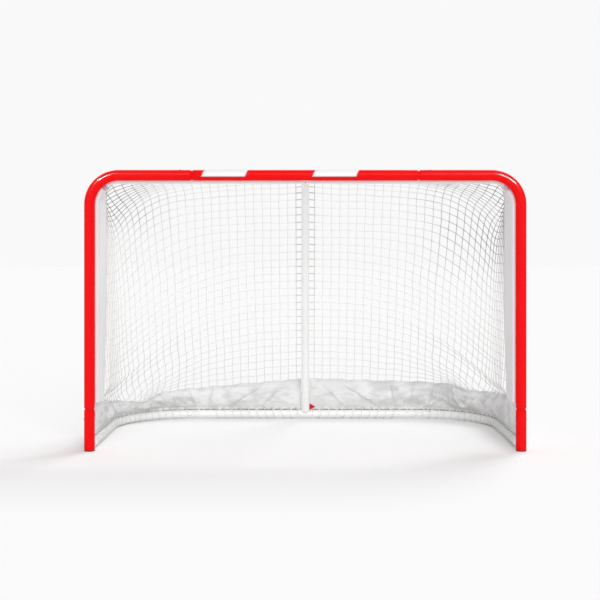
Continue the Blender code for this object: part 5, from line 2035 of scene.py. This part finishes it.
@dataclass
class Skirt:
    """The canvas skirt in two halves, its eyelets, and the cords that lace it to the base."""

    materials: Materials
    thickness: float = 0.001
    hem: float = 0.006
    eyelet: float = 0.01
    fold_depth: float = 0.009
    fold_taper: float = 0.05
    crumple: float = 0.03
    crumple_reach: float = 0.28
    fold_high: float = 0.165
    fold_slope: float = 0.19
    fold_width: float = 0.03
    fold_lift: float = 0.01
    pleats: tuple[tuple[float, float, float, float], ...] = (
        (0.1, 0.24, 0.035, 0.012),
        (0.2, 0.42, 0.04, 0.013),
        (0.47, 0.5, 0.026, 0.014),
        (0.6, 0.56, 0.024, 0.014),
        (0.71, 0.67, 0.03, 0.016),
        (0.8, 0.87, 0.05, 0.022),
        (1.02, 0.93, 0.06, 0.024),
        (1.2, 1.34, 0.09, 0.016),
    )
    pleat_edge: float = 0.3
    lace_r: float = 0.0016
    lace_turn_r: float = 0.0224
    rear_first: float = 0.047
    rear_last: float = 0.467
    rear_loops: int = 11
    side_first: float = 0.62
    side_last: float = 1.658
    side_loops: int = 27
    columns: int = 420
    rows: int = 26

    @property
    def eyelet_z(self) -> float:
        """The height of the eyelets' middle."""
        return PLAN.base_z + PLAN.white_r + PLAN.gap + self.hem + self.eyelet / 2

    def rear_passes(self) -> list[float]:
        """How far along half the base the rear cord passes each eyelet."""
        step = (self.rear_last - self.rear_first) / (self.rear_loops - 1)
        return [self.rear_first + step * loop for loop in range(self.rear_loops)]

    def side_passes(self) -> list[float]:
        """How far along half the base the side cord passes each eyelet."""
        step = (self.side_last - self.side_first) / (self.side_loops - 1)
        return [self.side_first + step * loop for loop in range(self.side_loops)]

    def build(self) -> None:
        """Build both halves with their eyelets and cords."""
        for side in Side:
            eyelets = self.eyelets(side)
            self.cloth(side, eyelets)
            self.lace(side, f"{side.label}_rear_lace", self.rear_passes())
            self.lace(side, f"{side.label}_side_lace", self.side_passes())

    def cloth(self, side: Side, eyelets: bpy.types.Object) -> None:
        """Half of the skirt, with its folds."""
        start, end = PLAN.skirt_start_x, PLAN.half_base - PLAN.skirt_front
        low = PLAN.base_z + PLAN.white_r + PLAN.gap
        lengths = [PLAN.skirt_top(side, start + (end - start) * step / 20) - low for step in range(21)]
        length, width = end - start, sum(lengths) / len(lengths)
        passes = self.rear_passes() + self.side_passes()
        finish = Canvas(
            f"{side.label}_skirt_canvas",
            (0.86, 0.86, 0.86),
            hem_lines=(0.0035, 0.02, width - 0.012, width - 0.005),
            dust_top=0.16,
            # A painted shadow line along the lower hem, and painted shade of the folds.
            edge_line=0.0045,
            blotch=0.8,
        ).material()

        def place(along: float, across: float) -> Vector:
            distance = start + length * along
            return self.fold(side, distance, low + (PLAN.skirt_top(side, distance) - low) * across, low)

        def keep(along: float, across: float) -> bool:
            distance = start + length * along
            z = low + (PLAN.skirt_top(side, distance) - low) * across
            near = min(abs(distance - mark) for mark in passes)
            return math.hypot(near, z - self.eyelet_z) > 0.0042

        skirt = Cloth.sheet(f"{side.label}_canvas_skirt", (self.columns, self.rows), (length, width), place, finish, keep)
        Tools.thicken(skirt, self.thickness)
        Tools.settle(skirt)
        f"{side.label}_rail_tube"
        Tools.place_piece(skirt, "goal", "white_canvas", [f"{side.label}_skirt"])

    def fold(self, side: Side, distance: float, z: float, low: float) -> Vector:
        """Where the skirt lies, with its long folds and small creases.

        Args:
            side: The side of the goal.
            distance: How far along half the base from its middle.
            z: The height.
            low: The height of the skirt's lower edge.

        Returns:
            The point.
        """
        point, outward = PLAN.base_point(side, distance, z)
        cloth = low + self.hem + self.eyelet
        share = max(0.0, (z - cloth) / (PLAN.skirt_top(side, distance) - cloth))
        wave = 0.6 * math.sin(WHOLE_TURN * distance / 0.185) + 0.36 * math.sin(WHOLE_TURN * distance / 0.114 + 1.0)
        taper = min(1.0, (distance - PLAN.skirt_start_x) / self.fold_taper)
        seed = side.value * 7.3
        near = math.exp(-(((distance - PLAN.pinch_distance) / self.crumple_reach) ** 2))
        crease = noise.noise(Vector((distance * 11.0 + z * 30.0, z * 14.0, seed))) * 0.006
        ridge = 0.5 - abs(noise.noise(Vector((distance * 13.0 - z * 16.0, z * 17.0, seed + 2.0))))
        ridge += 0.4 * (0.5 - abs(noise.noise(Vector((distance * 29.0 + z * 22.0, z * 30.0, seed + 5.0)))))
        long_fold = 1.0 - abs(z - (self.fold_high - self.fold_slope * distance)) / self.fold_width
        depth = self.fold_depth * (1.0 + wave) * 0.8 + crease + ridge * (self.crumple * (0.45 + near))
        depth += self.fold_lift * smooth_step(long_fold) * smooth_step(distance / 0.1) * smooth_step((0.55 - distance) / 0.2)
        depth += self.pleat_depth(side, distance, share)
        return point - outward * depth * math.sin(math.pi * share) ** 0.8 * taper

    def pleat_depth(self, side: Side, distance: float, share: float) -> float:
        """How far the slanted pleats stand out, each steep on one side and sloping off on the other.

        Args:
            side: The side of the goal.
            distance: The distance along half the base.
            share: The share of the way up the loose cloth.

        Returns:
            The distance into the goal.
        """
        total = 0.0
        for top, bottom, width, depth in self.pleats:
            line = bottom + (top - bottom) * share - (0.03 if side is Side.RIGHT else 0.0)
            past = (distance - line) / width
            if -self.pleat_edge < past <= 0.0:
                total += depth * smooth_step(1.0 + past / self.pleat_edge)
            elif 0.0 < past < 1.0:
                total += depth * (1.0 - past) ** 2
        return total

    def eyelets(self, side: Side) -> bpy.types.Object:
        """A pressed ring in every eyelet of this half."""
        profile = [
            (0.0040 + 0.0014 * (1 - math.cos(turn)), 0.0011 * math.sin(turn)) for turn in
            [WHOLE_TURN * step / 10 for step in range(11)]
        ]
        whole = bmesh.new()
        whole.loops.layers.uv.new("lay")
        for distance in self.rear_passes() + self.side_passes():
            point, outward = PLAN.base_point(side, distance, self.eyelet_z)
            turn = outward.to_track_quat("Z", "Y").to_matrix().to_4x4()
            ring = Turning.shape(profile, 18, Matrix.Translation(point) @ turn)
            mesh = bpy.data.meshes.new("ring")
            ring.to_mesh(mesh)
            ring.free()
            whole.from_mesh(mesh)
            bpy.data.meshes.remove(mesh)
        rings = Tools.object_from(whole, f"{side.label}_skirt_eyelets", self.materials.zinc)
        return Tools.place_piece(rings, "goal", "zinc_plated_steel", [])

    def lace(self, side: Side, name: str, passes: Sequence[float]) -> None:
        """A cord that winds round the base and up through every eyelet.

        Args:
            side: The side of the goal.
            name: The CAD node that the cord stands for.
            passes: How far along half the base it passes each eyelet.
        """
        pitch = passes[1] - passes[0]
        steps = 26
        top = self.eyelet_z - PLAN.base_z
        stations = []
        for index in range(-steps // 3, steps * (len(passes) - 1) + steps // 3 + 1):
            turn = WHOLE_TURN * index / steps
            distance = passes[0] + pitch * index / steps
            axis, outward = PLAN.base_point(side, distance, PLAN.base_z)
            rise = ((1 + math.cos(turn)) / 2) ** 5
            reach = self.lace_turn_r + (top - self.lace_turn_r) * rise
            lean = math.sin(turn) * (1 - 0.5 * rise)
            direction = (math.cos(turn) * UP + lean * outward).normalized()
            stations.append(Station(axis + direction * reach, self.lace_r))
        cord = RoundSweep(9).piece(f"{name}_cord", stations, self.materials.lace)
        Tools.place_piece(cord, "goal", "white_lacing_cord", [name])


@dataclass
class StrapEnd:
    """The cut corner of red webbing that stands on the rear tube beside the sleeve."""

    materials: Materials
    width: float = 0.03
    height: float = 0.034
    thickness: float = 0.003
    clear: float = 0.001

    def build(self) -> None:
        """Build the folded webbing."""
        beside = PLAN.sleeve_bore + PLAN.sleeve_wall + PLAN.gap
        corner = PLAN.at(beside, PLAN.base_run - 0.001 - self.clear - self.thickness, PLAN.base_z + PLAN.white_r + PLAN.gap)
        shape = bmesh.new()
        shape.loops.layers.uv.new("lay")
        outline = ((0.0, 0.0), (self.width, self.height / 2), (0.0, self.height))
        corners = [shape.verts.new(corner + RIGHT * x + UP * z - BACK * self.thickness / 2) for x, z in outline]
        shape.faces.new(corners)
        extruded = bmesh.ops.extrude_face_region(shape, geom=shape.faces[:])["geom"]
        moved = [part for part in extruded if isinstance(part, bmesh.types.BMVert)]
        bmesh.ops.translate(shape, verts=moved, vec=BACK * self.thickness)
        bmesh.ops.recalc_face_normals(shape, faces=shape.faces)
        bmesh.ops.bevel(
            shape, geom=shape.edges[:], offset=0.0008, segments=3, profile=0.5, affect="EDGES", material=-1
        )
        strap = Tools.object_from(shape, "webbing_end", self.materials.webbing)
        Tools.place_piece(strap, "goal", "red_webbing", ["strap_end"])


@dataclass
class Studio:
    """A pale floor, a white background and soft light, with the camera where the photographer stood."""

    distance: float = 5.0
    eye_height: float = 0.866
    pixels: float = 600.0
    focal_pixels: float = 1151.0
    middle: tuple[float, float] = (305.3, 251.5)
    sensor: float = 36.0
    white: float = 0.947
    ambient: float = 0.52
    front_sun: float = 1.32
    front_turn: tuple[float, float] = (math.radians(62), math.radians(16))
    rear_sun: float = 1.1
    rear_turn: tuple[float, float] = (math.radians(-30), math.radians(24))
    box_glow: float = 320.0
    box_size: tuple[float, float] = (1.3, 2.6)
    box_reach: float = 6.1
    box_off_axis: float = math.radians(44)
    box_turn: float = math.radians(37)
    floor_lift: float = 0.075

    def build(self) -> None:
        """Build the floor, the lights and the camera."""
        self.floor()
        self.world()
        self.lamps()
        self.camera()
        bpy.context.scene.view_settings.view_transform = "Standard"

    def floor(self) -> None:
        """A large pale floor that keeps the goal's shadow."""
        shape = bmesh.new()
        shape.loops.layers.uv.new("lay")
        bmesh.ops.create_grid(shape, x_segments=4, y_segments=4, size=60.0)
        recipe = Recipe("studio_floor")
        place = recipe.place()
        cloud = recipe.mottle(place, 0.8, 2.0)
        colour = recipe.tint(cloud, (0.895, 0.895, 0.895), (0.9, 0.9, 0.9))
        recipe.constants(Specular_IOR_Level=0.0, Emission_Strength=1.0)
        rays = [recipe.node("ShaderNodeLightPath", output=number) for number in (0, 3, 6)]
        seen = rays[0].maths("MAXIMUM", rays[1]).maths("MAXIMUM", rays[2])
        lift = recipe.tint(seen, (0.0, 0.0, 0.0), (self.floor_lift,) * 3)
        recipe.tree.links.new(lift.socket, recipe.shader.inputs["Emission Color"])
        recipe.finish(colour, cloud * 0.02 + 0.9, recipe.relief(recipe.mottle(place, 300.0), 0.00005))
        floor = Tools.object_from(shape, "studio_floor", recipe.material)
        floor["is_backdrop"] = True

    def world(self) -> None:
        """Even light from all round, which looks white to the camera and in reflections."""
        world = bpy.data.worlds.new("studio")
        bpy.context.scene.world = world
        world.use_nodes = True
        tree = world.node_tree
        background = tree.nodes["Background"]
        background.inputs["Color"].default_value = (1.0, 1.0, 1.0, 1.0)
        path = tree.nodes.new("ShaderNodeLightPath")
        seen = tree.nodes.new("ShaderNodeMath")
        seen.operation = "MAXIMUM"
        both = tree.nodes.new("ShaderNodeMath")
        both.operation = "MAXIMUM"
        level = tree.nodes.new("ShaderNodeMapRange")
        level.inputs["To Min"].default_value = self.ambient
        level.inputs["To Max"].default_value = self.white
        tree.links.new(path.outputs["Is Camera Ray"], seen.inputs[0])
        tree.links.new(path.outputs["Is Glossy Ray"], seen.inputs[1])
        tree.links.new(seen.outputs[0], both.inputs[0])
        tree.links.new(path.outputs["Is Transmission Ray"], both.inputs[1])
        tree.links.new(both.outputs[0], level.inputs["Value"])
        tree.links.new(level.outputs["Result"], background.inputs["Strength"])

    def lamps(self) -> None:
        """A broad panel in front, a softer one high behind, and a small box above that the paint reflects."""
        for name, power, spread, turn in (
            ("front_panel", self.front_sun, 40, self.front_turn),
            ("rear_panel", self.rear_sun, 24, self.rear_turn),
        ):
            data = bpy.data.lights.new(name, "SUN")
            data.energy = power
            data.angle = math.radians(spread)
            lamp = bpy.data.objects.new(name, data)
            lamp.rotation_euler = (*turn, 0.0)
            bpy.context.scene.collection.objects.link(lamp)
        for side in Side:
            self.reflector(side)

    def reflector(self, side: Side) -> None:
        """A soft box that only shows as the bright streak on the paint of one bend.

        Args:
            side: The side it stands on.
        """
        away, tilt = math.sin(self.box_off_axis), math.cos(self.box_off_axis)
        turn = self.box_turn
        back = Vector((side.value * away * math.sin(turn), -tilt, away * math.cos(turn)))
        up = Vector((side.value * math.cos(turn), 0.0, -math.sin(turn)))
        bend = PLAN.at(side.value * (PLAN.post_x - PLAN.corner_r), 0.0, PLAN.bar_z - PLAN.corner_r)
        box = bpy.data.lights.new(f"{side.label}_reflector", "AREA")
        box.shape = "RECTANGLE"
        box.size, box.size_y = self.box_size
        box.energy = self.box_glow * math.pi * box.size * box.size_y
        lamp = bpy.data.objects.new(box.name, box)
        turned = Matrix((up.cross(back), up, back)).transposed()
        lamp.matrix_world = Matrix.Translation(bend + back * self.box_reach) @ turned.to_4x4()
        lamp.visible_diffuse = False
        lamp.visible_transmission = False
        bpy.context.scene.collection.objects.link(lamp)
        lit = bpy.data.collections.new(f"{side.label}_reflector_lit")
        lit.objects.link(bpy.data.objects[f"{side.label}_post_tube"])
        lamp.light_linking.receiver_collection = lit

    def camera(self) -> None:
        """The camera, level, with its shift from the photograph's framing."""
        data = bpy.data.cameras.new("camera")
        data.sensor_width = self.sensor
        data.lens = self.focal_pixels / self.pixels * self.sensor
        data.shift_x = (self.pixels / 2 - self.middle[0]) / self.pixels
        data.shift_y = (self.middle[1] - self.pixels / 2) / self.pixels
        camera = bpy.data.objects.new("camera", data)
        camera.location = (0.0, PLAN.post_y - self.distance, self.eye_height)
        camera.rotation_euler = (math.pi / 2, 0.0, 0.0)
        bpy.context.scene.collection.objects.link(camera)
        bpy.context.scene.camera = camera


def dress_springs(materials: Materials) -> None:
    """Give the leaf springs inside the tubes their steel."""
    for name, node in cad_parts.items():
        if name.endswith("_spring"):
            node.data.materials.clear()
            node.data.materials.append(materials.spring)


def write_sizes() -> None:
    """Write the box of the CAD model and the box of the dressed model."""
    boxes = {
        "cad": [list(corner) for corner in CAD_BOX],
        "visual": [list(corner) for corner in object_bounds()],
    }
    for axis, name in enumerate("xyz"):
        LOG.info(
            "%s: CAD %.4f to %.4f, visual %.4f to %.4f",
            name, CAD_BOX[0][axis], CAD_BOX[1][axis], boxes["visual"][0][axis], boxes["visual"][1][axis],
        )


def main() -> None:
    """Build and dress the goal, then the studio."""
    logging.basicConfig(level=logging.INFO, format="%(name)s: %(message)s")
    materials = Materials()
    front = FrontFrame(materials)
    front.build()
    base = Base(materials)
    base.build()
    support = CentreSupport(materials)
    support.build()
    SnapButtons(materials, {**front.tubes, **base.tubes, **support.tubes}).build()
    LacingBars(materials).build()
    CanvasBands().build()
    Net(materials).build()
    Skirt(materials).build()
    StrapEnd(materials).build()
    dress_springs(materials)
    Studio().build()
    write_sizes()


if __name__ == "__main__":
    main()
